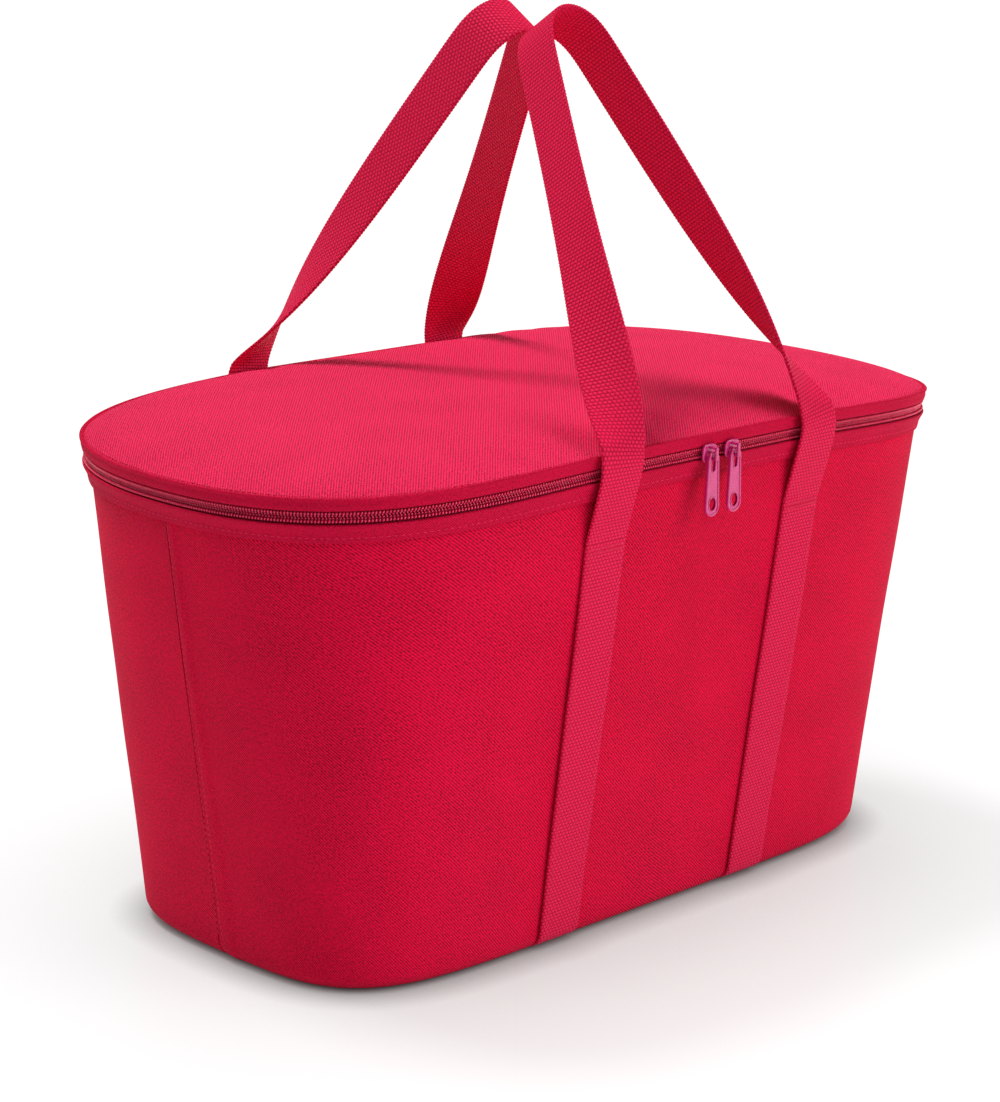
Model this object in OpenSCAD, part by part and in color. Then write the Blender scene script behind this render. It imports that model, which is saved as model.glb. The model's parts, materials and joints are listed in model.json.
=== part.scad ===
// Insulated cooler bag: a soft oblong tub with foam walls, a zipped padded lid and two webbing handles.
// Frame: origin on the floor under the middle of the bag, +X along its length, -Y its front
// (the side where the zip sliders meet), +Z up. Millimetres.

/* [Tub] */
// Length of the bag at its rim
rim_length = 445; // [430:1:460]
// Depth of the bag at its rim, front to back
rim_depth = 247; // [240:1:252]
// Length of the bag at its base
base_length = 382; // [370:1:392]
// Depth of the bag at its base
base_depth = 185; // [178:1:195]
// Height of the tub's outer panels, up to the seam under the zip
wall_height = 219; // [205:1:225]
// Radius of the edge between wall and base
base_round = 9; // [7:0.5:11]
// How far the two ends of the rim sag below its middle
end_sag = 9.4; // [0:0.2:12]

/* [Layers] */
// Thickness of the outer fabric
fabric = 0.8; // [0.6:0.1:0.9]
// Thickness of the foam in walls, base and lid
foam = 8; // [6:0.5:9]
// Thickness of the wipe-clean lining
lining = 0.5; // [0.4:0.1:0.6]
// Thickness of the plastic board that keeps the base flat
board = 2; // [1.5:0.5:2.5]
// Gap left between neighbouring layers
gap = 0.1; // [0.1:0.05:0.15]

/* [Zip] */
// Height of the middle of the zip above the floor, at the front
zip_height = 229.5; // [229:0.5:231]
// Space between the lower and the upper row of teeth
teeth_gap = 1.6; // [1.4:0.1:1.8]
// Height of one row of teeth
teeth_height = 1.8; // [1.6:0.1:2]
// Length of a slider, along the zip
slider_length = 9.6; // [9:0.2:11]
// Distance between the middles of the two closed sliders
slider_spacing = 15; // [12:1:20]
// Length of a pull, below its hinge line
pull_length = 29; // [24:1:32]

/* [Lid] */
// Height of the seam between the lid's side band and its top
lid_seam_height = 236.5; // [236:0.5:238]
// Rise of the padded top above that seam
lid_crown = 8.5; // [6:0.5:11]
// Half the length of the fabric hinge at the back
hinge_half = 88; // [70:1:95]

/* [Handles] */
// Width of the webbing
web_width = 25; // [22:1:26]
// Thickness of the webbing
web_thick = 1.6; // [1.4:0.1:1.8]
// Distance of each strap's middle from the bag's middle, at the rim
strap_x = 67.3; // [62:0.5:72]
// The same distance at the base
strap_base_x = 65.7; // [60:0.5:72]
// Height of the cross-stitching where the webbing comes free of the wall
tack_height = 197; // [190:1:200]
// Length of webbing between the cross-stitching and the handle's own bend
tail_length = 18; // [15:1:20]
// Clear space between the lid's edge and the free webbing
web_clear = 4.4; // [4.4:0.1:5]
// Height at which the free webbing starts to lean inwards
lean_height = 251; // [250:1:256]
// Height of the middle of the webbing at the top of a handle
apex_height = 415; // [400:1:440]
// Distance of the top of a handle from the bag's middle plane
apex_y = 11.8; // [11.8:0.1:16]
// Bend radius of the webbing at the top of a handle
apex_round = 18.4; // [14:0.2:24]
// How early along a leg the webbing twists edge-on
twist_power = 2.55; // [1.5:0.05:4]

/* [Hidden] */

// Squareness of the plan outlines: [towards the ends, towards the long sides]
rim_square = [5.14, 2.25];
base_square = [6.7, 3.5];
rim_half = [rim_length, rim_depth] / 2;
base_half = [base_length, base_depth] / 2;
// The lid and zip overhang the top of the wall by this much
rim_overhang = 4.2;
wall_half = [rim_half.x - rim_overhang, rim_half.y - rim_overhang];
// The rim is level between these two distances from the middle, then sags
level_half = 50;
sag_power = 1.6;

// Turns round the plan outline, closer together where it curves least in turn
quarter_steps = 16;
quarter_crowding = 2.2;
quarter = [for (i = [0:quarter_steps]) 90 * (1 - pow(1 - i / quarter_steps, quarter_crowding))];
half_turns = concat(quarter, [for (i = [1:quarter_steps]) 180 - quarter[quarter_steps - i]]);
full_turns = concat(half_turns, [for (i = [1:2 * quarter_steps]) 180 + half_turns[i]]);
two_laps = concat(full_turns, [for (i = [1:4 * quarter_steps]) 360 + full_turns[i]]);
// Turn at which the back half of the rim reaches the end of the fabric hinge
zip_margin = 4;
hinge_turn = turn_at(hinge_half + zip_margin);

// Heights and depths of the zip's parts. A depth is measured inwards from the rim's outline.
row_margin = 0.5;
band_top = zip_height - teeth_gap / 2 - teeth_height - row_margin;
lid_band_bottom = zip_height + teeth_gap / 2 + teeth_height + row_margin;
tape_depth = [1.8, 2.3];
teeth_depth = [1.0, 3.0];
hinge_depth = [0.9, 1.5];
hinge_overlap = 2;
binding_clear = 0.6;
edge_binding = 0.4;
lid_foam_inset = [3.0, 6.5];
lid_rings = 5;
ring_crowding = 1.6;
crown_power = 3.2;

// Slider and pull
plate = 1.2;
plate_front = -0.3;
plate_back = 3.5;
slider_height = 8.6;
bridge_width = 1.8;
bridge_reach = 4.3;
bridge_bar = 1.4;
pull_hinge_out = 1.6;
pull_thick = 1.7;
pull_top_width = 7;
pull_bottom_width = 9;

// Webbing path in the Y-Z plane for the front handle, on the middle of the webbing
wall_gap = 0.15;
web_out = wall_gap + web_thick / 2;
end_gap = 0.2;
tack = [-(wall_y(tack_height) + web_out), tack_height];
knee = [-(rim_half.y + web_clear + web_thick / 2), lid_seam_height + 1.5];
tail_dir = (knee - tack) / norm(knee - tack);
tail_top = tack + tail_length * tail_dir;
lean_start = [knee.x, lean_height];
apex = [-apex_y, apex_height];
leg_length = norm(apex - lean_start);
leg_dir = (apex - lean_start) / leg_length;
leg_out = [-leg_dir.y, leg_dir.x];

// ---- Outlines -------------------------------------------------------------------------------

function signed_pow(v, e) = sign(v) * pow(abs(v), e);

// Point of a rounded oblong with the given half sizes and squareness, at a turn in degrees
function plan_point(half, square, turn) = [
  half.x * signed_pow(cos(turn), 2 / square.x),
  half.y * signed_pow(sin(turn), 2 / square.y)
];

function sag(x) = end_sag * pow(max(0, (abs(x) - level_half) / (rim_half.x - level_half)), sag_power);

// Point of the rim family: an inset from the rim's outline, at a nominal height
function rim_point(inset, z, turn) =
  let (p = plan_point(rim_half - [inset, inset], rim_square, turn))
  [p.x, p.y, z - sag(p.x)];

// Turn in the first quarter at which the rim is this far from the bag's middle along X
function turn_at(x) = acos(pow(x / rim_half.x, rim_square.x / 2));

function wall_share(z) = min(1, max(0, (z - base_round) / (wall_height - base_round)));

// Point of the tub wall: an inset from its outer face, at a nominal height
function wall_point(inset, z, turn) =
  let (
    share = wall_share(z),
    low = plan_point(base_half - [inset, inset], base_square, turn),
    high = plan_point(wall_half - [inset, inset], rim_square, turn),
    p = (1 - share) * low + share * high
  )
  [p.x, p.y, z - share * sag(p.x)];

// Distance of the flat middle of the long wall from the bag's middle plane
function wall_y(z) = base_half.y + wall_share(z) * (wall_half.y - base_half.y);

// Inset and height on the rounded base edge, for a layer that lies depth below the outer face
function edge_point(depth, angle) = [
  base_round - (base_round - depth) * cos(angle),
  base_round - (base_round - depth) * sin(angle)
];

function turns_between(first, last) =
  concat([first], [for (t = two_laps) if (t > first + 0.2 && t < last - 0.2) t], [last]);

// ---- Solids ---------------------------------------------------------------------------------

function quad(a, b, c, d) = [[a, b, c], [a, c, d]];
function flatten(lists) = [for (l = lists) each l];

// A band that runs round the bag. columns holds, for every turn, the outer points from bottom to
// top and then the inner points from top to bottom. A closed band joins its last turn to its first.
// Both sides split their faces along the same diagonals, so that nested layers stay parallel.
module band_solid(columns, closed) {
  n = len(columns);
  k = len(columns[0]);
  steps = closed ? n : n - 1;
  sides = [
    for (i = [0:steps - 1]) for (j = [0:k - 1])
      let (a = i * k, b = ((i + 1) % n) * k, j2 = (j + 1) % k)
        each j < k / 2 ? quad(a + j, a + j2, b + j2, b + j) : quad(a + j2, b + j2, b + j, a + j)
  ];
  last = (n - 1) * k;
  caps = closed ? [] : flatten([
    for (j = [0:k / 2 - 2])
      let (up = j + 1, inner = k - 1 - j, inner_up = k - 2 - j)
      concat(quad(j, inner, inner_up, up), quad(last + j, last + up, last + inner_up, last + inner))
  ]);
  polyhedron(flatten(columns), concat(sides, caps));
}

// A band from the tub's family: outer and inner are lists of [inset, height], bottom to top
module wall_band(outer, inner, turns) {
  path = concat(outer, [for (i = [len(inner) - 1:-1:0]) inner[i]]);
  band_solid([for (t = turns) [for (p = path) wall_point(p[0], p[1], t)]], false);
}

// The same from the rim's family, closed all round or open between two turns
module rim_band(outer, inner, turns, closed = false) {
  path = concat(outer, [for (i = [len(inner) - 1:-1:0]) inner[i]]);
  band_solid([for (t = turns) [for (p = path) rim_point(p[0], p[1], t)]], closed);
}

closed_turns = [for (i = [0:len(full_turns) - 2]) full_turns[i]];
zip_turns = turns_between(180 - hinge_turn, 360 + hinge_turn);

// The front half of the tub lies between turns 180 and 360, the back half between 0 and 180
function half_lap(front) = [for (t = half_turns) (front ? 180 : 0) + t];

// Wall layer between two depths below the outer face, from the base edge to the rim
module wall_layer(depth, thick, front, edge_angles, top) {
  outer = concat([for (a = edge_angles) edge_point(depth, a)], [[depth, base_round], [depth, top]]);
  inner = concat(
    [for (a = edge_angles) edge_point(depth + thick, a)],
    [[depth + thick, base_round], [depth + thick, top]]
  );
  wall_band(outer, inner, half_lap(front));
}

// Flat base layer that fits inside the wall, from height z upwards
module base_layer(inset, z, thick) {
  outline = [for (t = closed_turns) plan_point(base_half - [inset, inset], base_square, t)];
  translate([0, 0, z]) linear_extrude(thick) polygon(outline);
}

function crown(share) = lid_crown * (1 - pow(share, crown_power));

// Padded lid layer. Its edge runs from [inset, height] at the top to another at the bottom.
module lid_layer(top_edge, bottom_edge) {
  n = len(closed_turns);
  shares = [for (i = [0:lid_rings]) 1 - pow(i / (lid_rings + 1), ring_crowding)];
  top = [for (s = shares) for (t = closed_turns) lid_point(top_edge, s, t)];
  bottom = [for (s = shares) for (t = closed_turns) lid_point(bottom_edge, s, t)];
  centres = [[0, 0, top_edge[1] + crown(0)], [0, 0, bottom_edge[1] + crown(0)]];
  rings = len(shares);
  first = rings * n;
  top_centre = 2 * first;
  faces = flatten([
    for (j = [0:n - 1])
      let (k = (j + 1) % n, inner = (rings - 1) * n)
      concat(
        [for (i = [0:rings - 2]) each quad(i * n + j, i * n + n + j, i * n + n + k, i * n + k)],
        [for (i = [0:rings - 2])
          each quad(first + i * n + j, first + i * n + k, first + i * n + n + k, first + i * n + n + j)],
        [[inner + j, top_centre, inner + k]],
        [[first + inner + j, first + inner + k, top_centre + 1]],
        quad(j, k, first + k, first + j)
      )
  ]);
  polyhedron(concat(top, bottom, centres), faces);
}

function lid_point(edge, share, turn) =
  let (p = share * plan_point(rim_half - [edge[0], edge[0]], rim_square, turn))
  [p.x, p.y, edge[1] - sag(p.x) * pow(share, 2) + crown(share)];

// Webbing along stations of [middle, face normal, width direction]
module webbing(stations) {
  n = len(stations);
  points = flatten([
    for (s = stations)
      let (w = s[2] * web_width / 2, t = s[1] * web_thick / 2)
      [s[0] - w - t, s[0] + w - t, s[0] + w + t, s[0] - w + t]
  ]);
  sides = flatten([
    for (i = [0:n - 2]) for (j = [0:3])
      let (a = 4 * i, k = (j + 1) % 4)
      quad(a + j, a + 4 + j, a + 4 + k, a + k)
  ]);
  last = 4 * (n - 1);
  polyhedron(points, concat(sides, quad(0, 1, 2, 3), quad(last + 3, last + 2, last + 1, last)));
}

// Station of webbing that lies across X, at [y, z] with its outer face along out
function flat_station(x, at, out) = [[x, at.x, at.y], [0, out.x, out.y], [1, 0, 0]];

// ---- Tub ------------------------------------------------------------------------------------

skin_angles = [90, 60, 30];
foam_angles = [60, 30];

module front_outer_panel() { color("crimson") wall_layer(0, fabric, true, skin_angles, wall_height); }
module back_outer_panel() { color("crimson") wall_layer(0, fabric, false, skin_angles, wall_height); }
module base_outer_panel() { color("darkred") base_layer(base_round + gap, 0, fabric); }

foam_depth = fabric + gap;
foam_top = wall_height - gap;
module front_wall_foam() { color("lightgray") wall_layer(foam_depth, foam, true, foam_angles, foam_top); }
module back_wall_foam() { color("lightgray") wall_layer(foam_depth, foam, false, foam_angles, foam_top); }

board_z = fabric + gap;
base_foam_z = board_z + board + gap;
floor_z = base_foam_z + foam + gap;
base_inset = foam_depth + foam + gap;
module base_stiffener_board() { color("dimgray") base_layer(base_inset, board_z, board); }
module base_foam() { color("gainsboro") base_layer(base_inset, base_foam_z, foam); }

// The lining panels stand on the base foam, round the edge of the floor lining
module lining_panel(front) {
  outer = [[base_inset, floor_z], [base_inset, foam_top]];
  inner = [[base_inset + lining, floor_z], [base_inset + lining, foam_top]];
  wall_band(outer, inner, half_lap(front));
}

module front_lining_panel() { color("silver") lining_panel(true); }
module back_lining_panel() { color("silver") lining_panel(false); }
module base_lining_panel() { color("silver") base_layer(base_inset + lining + gap, floor_z, lining); }

// ---- Rim and zip, bag side ------------------------------------------------------------------

band_bottom = wall_height + gap;
band_top_inset = 0.6;

// Depth of the band's outer face, and of the first clear space behind the band, at a height
function band_inset(z) =
  rim_overhang + (band_top_inset - rim_overhang) * (z - band_bottom) / (band_top - band_bottom);
function behind_band(z) = band_inset(z) + fabric + gap;

module lower_rim_band() {
  outer = [for (z = [band_bottom, band_top]) [band_inset(z), z]];
  inner = [for (p = outer) [p[0] + fabric, p[1]]];
  color("firebrick") rim_band(outer, inner, closed_turns, true);
}

// Folded tape that covers the top of the wall foam and the lining's edge
module rim_binding_tape() {
  low = wall_height + 2 * gap;
  outside = rim_overhang + fabric + binding_clear;
  inside = rim_overhang + base_inset + lining;
  outer = [[outside, low], [outside, low + fabric]];
  inner = [[inside, low], [inside, low + fabric]];
  color("maroon") rim_band(outer, inner, closed_turns, true);
}

// Thin upright strip of the zip between two depths and two heights
module zip_strip(depth, low, high, turns) {
  rim_band([[depth[0], low], [depth[0], high]], [[depth[1], low], [depth[1], high]], turns);
}

lower_row = [zip_height - teeth_gap / 2 - teeth_height, zip_height - teeth_gap / 2];
upper_row = [zip_height + teeth_gap / 2, zip_height + teeth_gap / 2 + teeth_height];
tape_overlap = 4;
stop_clear = 0.2;

// Cloth strip whose foot is tucked behind the band, up to a top height at the given depths
module tucked_strip(overlap, depth, top, turns) {
  low = band_top - overlap;
  outer = [[behind_band(low), low], [max(depth[0], behind_band(band_top)), band_top], [depth[0], top]];
  inner = [for (p = outer) [p[0] + depth[1] - depth[0], p[1]]];
  rim_band(outer, inner, turns);
}

module lower_zip_tape() {
  color("brown") tucked_strip(tape_overlap, tape_depth, lower_row[0] - gap, zip_turns);
}

module lower_zip_teeth() { color("indianred") zip_strip(teeth_depth, lower_row[0], lower_row[1], zip_turns); }

// Small sewn stops that close the two ends of the chain, next to the fabric hinge
module zip_end_stops() {
  stop = [lower_row[0] - stop_clear, lower_row[1] + stop_clear];
  first = turn_at(hinge_half + zip_margin - gap);
  last = turn_at(hinge_half + 1);
  color("maroon") {
    zip_strip(teeth_depth, stop[0], stop[1], [first, last]);
    zip_strip(teeth_depth, stop[0], stop[1], [180 - last, 180 - first]);
  }
}

module lid_hinge_tape() {
  turn = turn_at(hinge_half);
  turns = turns_between(turn, 180 - turn);
  color("maroon") tucked_strip(hinge_overlap, hinge_depth, zip_height - stop_clear, turns);
}

// ---- Lid ------------------------------------------------------------------------------------

module lid_top_panel() {
  color("crimson") lid_layer([0.8, lid_seam_height + gap + fabric], [0.8, lid_seam_height + gap]);
}

lid_foam_top = lid_seam_height - gap;
module lid_foam() {
  color("gainsboro") lid_layer([lid_foam_inset[0], lid_foam_top], [lid_foam_inset[1], lid_foam_top - foam]);
}

module lid_lining() {
  top = lid_foam_top - foam - gap;
  color("silver") lid_layer([lid_foam_inset[1], top], [lid_foam_inset[1], top - lining]);
}

module lid_rim_band() {
  middle = (lid_band_bottom + lid_seam_height) / 2;
  outer = [[0.2, lid_band_bottom], [0, middle], [0.8, lid_seam_height]];
  inner = [for (p = outer) [p[0] + fabric, p[1]]];
  color("firebrick") rim_band(outer, inner, closed_turns, true);
}

// Tape that binds the raw edges inside the lid's seam
module lid_edge_binding() {
  inset = tape_depth[1] + gap;
  outer = [[inset, lid_band_bottom + edge_binding], [inset, lid_seam_height - row_margin]];
  inner = [for (p = outer) [p[0] + edge_binding, p[1]]];
  color("maroon") rim_band(outer, inner, closed_turns, true);
}

module upper_zip_tape() {
  color("brown") zip_strip(tape_depth, upper_row[1] + gap, lid_seam_height - row_margin, zip_turns);
}

module upper_zip_teeth() { color("indianred") zip_strip(teeth_depth, upper_row[0], upper_row[1], zip_turns); }

// ---- Sliders and pulls ----------------------------------------------------------------------

// Lays a shape drawn in X-Z flat against the front of the bag, from one depth inwards to another
module front_plate(from_depth, thick) {
  translate([0, -rim_half.y + from_depth + thick, 0]) rotate([90, 0, 0]) linear_extrude(thick) children();
}

// Slider of the closed zip: two plates, a post between the rows of teeth and a bridge for the pull
module slider(x) {
  corner = 1.6;
  post = [3.2, 1.0];
  back_plate_height = 5.6;
  inward = -sign(x);
  translate([x, 0, 0]) {
    front_plate(plate_front - plate, plate) translate([0, zip_height]) {
      square([slider_length, slider_height - 2 * corner], center = true);
      square([slider_length - 2 * corner, slider_height], center = true);
      for (sx = [-1, 1]) for (sz = [-1, 1])
        translate([sx * (slider_length / 2 - corner), sz * (slider_height / 2 - corner)])
          circle(corner, $fn = 32);
    }
    front_plate(plate_back, plate)
      translate([0, zip_height])
        square([slider_length - 2, back_plate_height], center = true);
    front_plate(plate_front - 0.05, plate_back - plate_front + 0.1)
      translate([inward * (slider_length / 2 - post.x), zip_height]) square(post, center = true);
    bridge();
  }
}

// Bridge in the Y-Z plane: a bar that stands off the plate on two feet
module bridge() {
  foot = 1.3;
  tall = 6.4;
  face = -rim_half.y + plate_front - plate;
  translate([-bridge_width / 2, face - bridge_reach, zip_height - tall / 2])
    difference() {
      cube([bridge_width, bridge_reach + 0.05, tall]);
      translate([-1, bridge_bar, foot]) cube([bridge_width + 2, bridge_reach - bridge_bar, tall - 2 * foot]);
    }
}

function arc(centre, r, from, to, steps) = [
  for (i = [0:steps])
    let (turn = from + (to - from) * i / steps)
    centre + r * [cos(turn), sin(turn)]
];

// Pull that hangs from the bridge: a tapered tag with an eye at its top and a finger hole below
module pull(x) {
  hinge_depth_out = plate_front - plate - pull_hinge_out;
  top_r = pull_top_width / 2;
  bottom_r = pull_bottom_width / 2;
  rise = 0.9;
  eye_r = 1.55;
  eye_middle = -1.9;
  eye_tail_r = 1.0;
  eye_tail_middle = -7.2;
  hole = [2.1, 3.0];
  hole_middle = [0, -pull_length + bottom_r + 1.2];
  outline = concat(
    arc([0, -pull_length + bottom_r], bottom_r, 180, 360, 16),
    arc([0, rise - top_r], top_r, 0, 180, 16)
  );
  eye = concat(arc([0, eye_middle], eye_r, 0, 180, 12), arc([0, eye_tail_middle], eye_tail_r, 180, 360, 8));
  finger_hole = [
    for (turn = [0:11.25:348.75])
      hole_middle + [hole.x * cos(turn), hole.y * sin(turn)]
  ];
  translate([x, 0, 0])
    front_plate(hinge_depth_out - pull_thick / 2, pull_thick)
      translate([0, zip_height]) difference() {
        polygon(outline);
        polygon(eye);
        polygon(finger_hole);
      }
}

module left_slider_body() { color("palevioletred") slider(-slider_spacing / 2); }
module right_slider_body() { color("palevioletred") slider(slider_spacing / 2); }
module left_zip_pull() { color("deeppink") pull(-slider_spacing / 2); }
module right_zip_pull() { color("deeppink") pull(slider_spacing / 2); }

// ---- Handle webbing -------------------------------------------------------------------------

// Webbing sewn to the front wall, from the base edge up to the cross-stitching
module sewn_strap() {
  edge = [
    for (a = [52, 40, 20])
      let (p = edge_point(-web_out, a))
      flat_station(strap_base_x, [-(base_half.y - p[0]), p[1]], [-cos(a), -sin(a)])
  ];
  rise = tack_height - base_round;
  slope = [-rise, -(wall_y(tack_height) - base_half.y)] / norm([rise, wall_y(tack_height) - base_half.y]);
  run = [
    for (z = [base_round, 60, 130, tack_height - end_gap])
      flat_station(
        strap_base_x + (strap_x - strap_base_x) * wall_share(z),
        [-(wall_y(z) + web_out), z],
        slope
      )
  ];
  webbing(concat(edge, run));
}

module front_left_strap() { color("mediumvioletred") mirror([1, 0, 0]) sewn_strap(); }
module front_right_strap() { color("mediumvioletred") sewn_strap(); }
module back_left_strap() { color("mediumvioletred") mirror([1, 0, 0]) mirror([0, 1, 0]) sewn_strap(); }
module back_right_strap() { color("mediumvioletred") mirror([0, 1, 0]) sewn_strap(); }

// Dense cross-stitching over the webbing, just under the point where it comes free
module strap_bar_tacks() {
  size = [web_width - 4, 0.5, 2.4];
  below_free_end = 5;
  clear = 0.35;
  z = tack_height - below_free_end;
  y = -(wall_y(z) + wall_gap + web_thick + clear + size.y);
  color("hotpink") for (sx = [-1, 1]) for (sy = [0, 1])
    mirror([0, sy, 0]) translate([sx * strap_x - size.x / 2, y, z - size.z / 2]) cube(size);
}

tail_out = [-tail_dir.y, tail_dir.x];

module strap_tails() {
  stations = [
    for (d = [end_gap, tail_length - end_gap])
      flat_station(strap_x, tack + d * tail_dir, tail_out)
  ];
  webbing(stations);
  mirror([1, 0, 0]) webbing(stations);
}

module front_strap_tails() { color("mediumvioletred") strap_tails(); }
module back_strap_tails() { color("mediumvioletred") mirror([0, 1, 0]) strap_tails(); }

// The handle's own plane leans over the lid: u runs along X, v up the slope from lean_start
function lean_point(p) = [p[0], lean_start.x + leg_dir.x * p[1], lean_start.y + leg_dir.y * p[1]];
function lean_vector(u, v, out) = [u, leg_dir.x * v + leg_out.x * out, leg_dir.y * v + leg_out.y * out];

tip_centre = [0, leg_length - apex_round];
foot = [strap_x, 0];
to_tip = tip_centre - foot;
tangent_length = sqrt(to_tip * to_tip - apex_round * apex_round);
leg_angle = atan2(to_tip.y, to_tip.x) - asin(apex_round / norm(to_tip));
tip_start = leg_angle - 90;

// Station on the right leg, share of the way from the lean's start to the round tip
function leg_station(share) =
  let (
    at = foot + share * tangent_length * [cos(leg_angle), sin(leg_angle)],
    twist = 90 * (1 - pow(1 - share, twist_power)),
    side = [sin(leg_angle), -cos(leg_angle)],
    normal = lean_vector(side.x * sin(twist), side.y * sin(twist), cos(twist)),
    along = lean_vector(-cos(leg_angle), -sin(leg_angle), 0)
  )
  [lean_point(at), normal, cross(along, normal)];

function tip_station(angle) =
  let (
    out = [cos(angle), sin(angle)],
    normal = lean_vector(out.x, out.y, 0),
    along = lean_vector(sin(angle), -cos(angle), 0)
  )
  [lean_point(tip_centre + apex_round * out), normal, cross(along, normal)];

function mirrored(s) = [for (v = s) [-v.x, v.y, v.z]];

// One handle loop, from the right tail over the tip to the left tail
module handle() {
  leg_steps = 14;
  tip_steps = 5;
  bend_out = (tail_out + [-1, 0]) / norm(tail_out + [-1, 0]);
  lean_out = (leg_out + [-1, 0]) / norm(leg_out + [-1, 0]);
  rise = [
    for (s = [[tail_top + end_gap * tail_dir, tail_out], [knee, bend_out], [lean_start, lean_out]])
      [[strap_x, s[0].x, s[0].y], [0, s[1].x, s[1].y], [-1, 0, 0]]
  ];
  leg = [for (i = [1:leg_steps]) leg_station(pow(i / leg_steps, 1.3))];
  tip = [for (i = [1:tip_steps]) tip_station(tip_start + (90 - tip_start) * i / tip_steps)];
  right = concat(rise, leg, tip);
  left = [for (i = [len(right) - 2:-1:0]) mirrored(right[i])];
  webbing(concat(right, left));
}

module front_handle() { color("mediumvioletred") handle(); }
module back_handle() { color("mediumvioletred") mirror([0, 1, 0]) handle(); }

front_outer_panel();
back_outer_panel();
base_outer_panel();
front_wall_foam();
back_wall_foam();
base_foam();
base_stiffener_board();
front_lining_panel();
back_lining_panel();
base_lining_panel();
lower_rim_band();
rim_binding_tape();
lower_zip_tape();
lower_zip_teeth();
zip_end_stops();
lid_hinge_tape();
front_left_strap();
front_right_strap();
back_left_strap();
back_right_strap();
strap_bar_tacks();
lid_top_panel();
lid_foam();
lid_lining();
lid_rim_band();
lid_edge_binding();
upper_zip_tape();
upper_zip_teeth();
left_slider_body();
right_slider_body();
left_zip_pull();
right_zip_pull();
front_strap_tails();
back_strap_tails();
front_handle();
back_handle();
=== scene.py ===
"""Looks of the insulated cooler bag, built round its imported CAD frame.

Everything is in metres and in the frame's own axes: +X along the bag, -Y its front, +Z up.
"""
import json
import math

import bmesh
import bpy
import numpy as np
from mathutils import Matrix, Vector


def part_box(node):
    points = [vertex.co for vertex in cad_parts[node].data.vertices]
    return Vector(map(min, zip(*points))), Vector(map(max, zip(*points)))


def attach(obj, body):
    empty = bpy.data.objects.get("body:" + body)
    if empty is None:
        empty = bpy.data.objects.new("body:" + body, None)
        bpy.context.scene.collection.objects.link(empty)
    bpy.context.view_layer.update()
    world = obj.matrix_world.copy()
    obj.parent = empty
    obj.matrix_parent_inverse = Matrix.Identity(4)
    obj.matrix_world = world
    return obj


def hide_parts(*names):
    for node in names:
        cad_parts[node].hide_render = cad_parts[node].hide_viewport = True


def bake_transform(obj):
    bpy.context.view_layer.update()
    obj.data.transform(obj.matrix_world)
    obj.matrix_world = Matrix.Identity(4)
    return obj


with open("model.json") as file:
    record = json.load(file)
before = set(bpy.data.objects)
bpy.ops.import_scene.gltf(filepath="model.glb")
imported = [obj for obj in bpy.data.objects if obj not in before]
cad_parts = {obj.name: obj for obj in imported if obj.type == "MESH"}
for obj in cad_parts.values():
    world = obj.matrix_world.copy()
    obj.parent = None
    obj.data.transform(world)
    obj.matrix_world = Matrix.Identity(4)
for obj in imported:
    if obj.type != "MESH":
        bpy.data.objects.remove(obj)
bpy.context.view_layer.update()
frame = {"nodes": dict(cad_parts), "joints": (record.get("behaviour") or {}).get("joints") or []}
MM = 0.001

# ---- Sizes taken from the frame ----


def low_corner(node):
    return np.array(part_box(node)[0])


def high_corner(node):
    return np.array(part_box(node)[1])


JOINTS = {joint["name"]: joint for joint in frame["joints"]}
BASE_ROUND = 9 * MM
GAP = 0.1 * MM
RIM_HALF = high_corner("lid_rim_band")[:2]
WALL_HALF = high_corner("back_outer_panel")[:2]
BASE_HALF = high_corner("base_outer_panel")[:2] + BASE_ROUND + GAP
WALL_TOP = high_corner("front_outer_panel")[2]
LINING_INSET = WALL_HALF[1] - high_corner("back_lining_panel")[1]
LINING_THICK = 0.5 * MM
FLOOR_TOP = high_corner("base_lining_panel")[2]
BAND_TOP = high_corner("lower_rim_band")[2]
LID_SEAM = high_corner("lid_rim_band")[2]
LOWER_ROW_TOP = high_corner("lower_zip_teeth")[2]
UPPER_ROW_TOP = high_corner("upper_zip_teeth")[2]
TEETH_HEIGHT = 1.8 * MM
ZIP_Z = (LOWER_ROW_TOP + UPPER_ROW_TOP - TEETH_HEIGHT) / 2
HINGE_HALF = high_corner("lid_hinge_tape")[0]
ZIP_END_HALF = high_corner("zip_end_stops")[0]
WEB_WIDTH = 25 * MM
WEB_THICK = 1.6 * MM
# How far the picks of the weave stand out along the webbing's edges
PICK_RISE = 0.16 * MM
# From the webbing's edge to its rows of stitches, and to the ends of its cross-stitching
EDGE_ROW_INSET = 2.6 * MM
TACK_INSET = 2.2 * MM
STRAP_X = high_corner("front_right_strap")[0] - WEB_WIDTH / 2
STRAP_BASE_X = low_corner("front_right_strap")[0] + WEB_WIDTH / 2

# Squareness of the plan outlines: towards the ends, towards the long sides
RIM_SQUARE = (5.14, 2.25)
BASE_SQUARE = (6.7, 3.5)
END_SAG = 9.4 * MM
LEVEL_HALF = 50 * MM
SAG_POWER = 1.6
FABRIC = 0.8 * MM

# ---- Outlines of the bag ----


def signed_power(value, power):
    return np.sign(value) * np.abs(value) ** power


def outline(half, square, turn):
    """Points of a rounded oblong with the given half sizes and squareness."""
    along = half[0] * signed_power(np.cos(turn), 2 / square[0])
    across = half[1] * signed_power(np.sin(turn), 2 / square[1])
    return np.stack([along, across], axis=-1)


def sag(x):
    """How far the rim dips at a distance from the bag's middle."""
    beyond = np.maximum(0, (np.abs(x) - LEVEL_HALF) / (RIM_HALF[0] - LEVEL_HALF))
    return END_SAG * beyond**SAG_POWER


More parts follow.
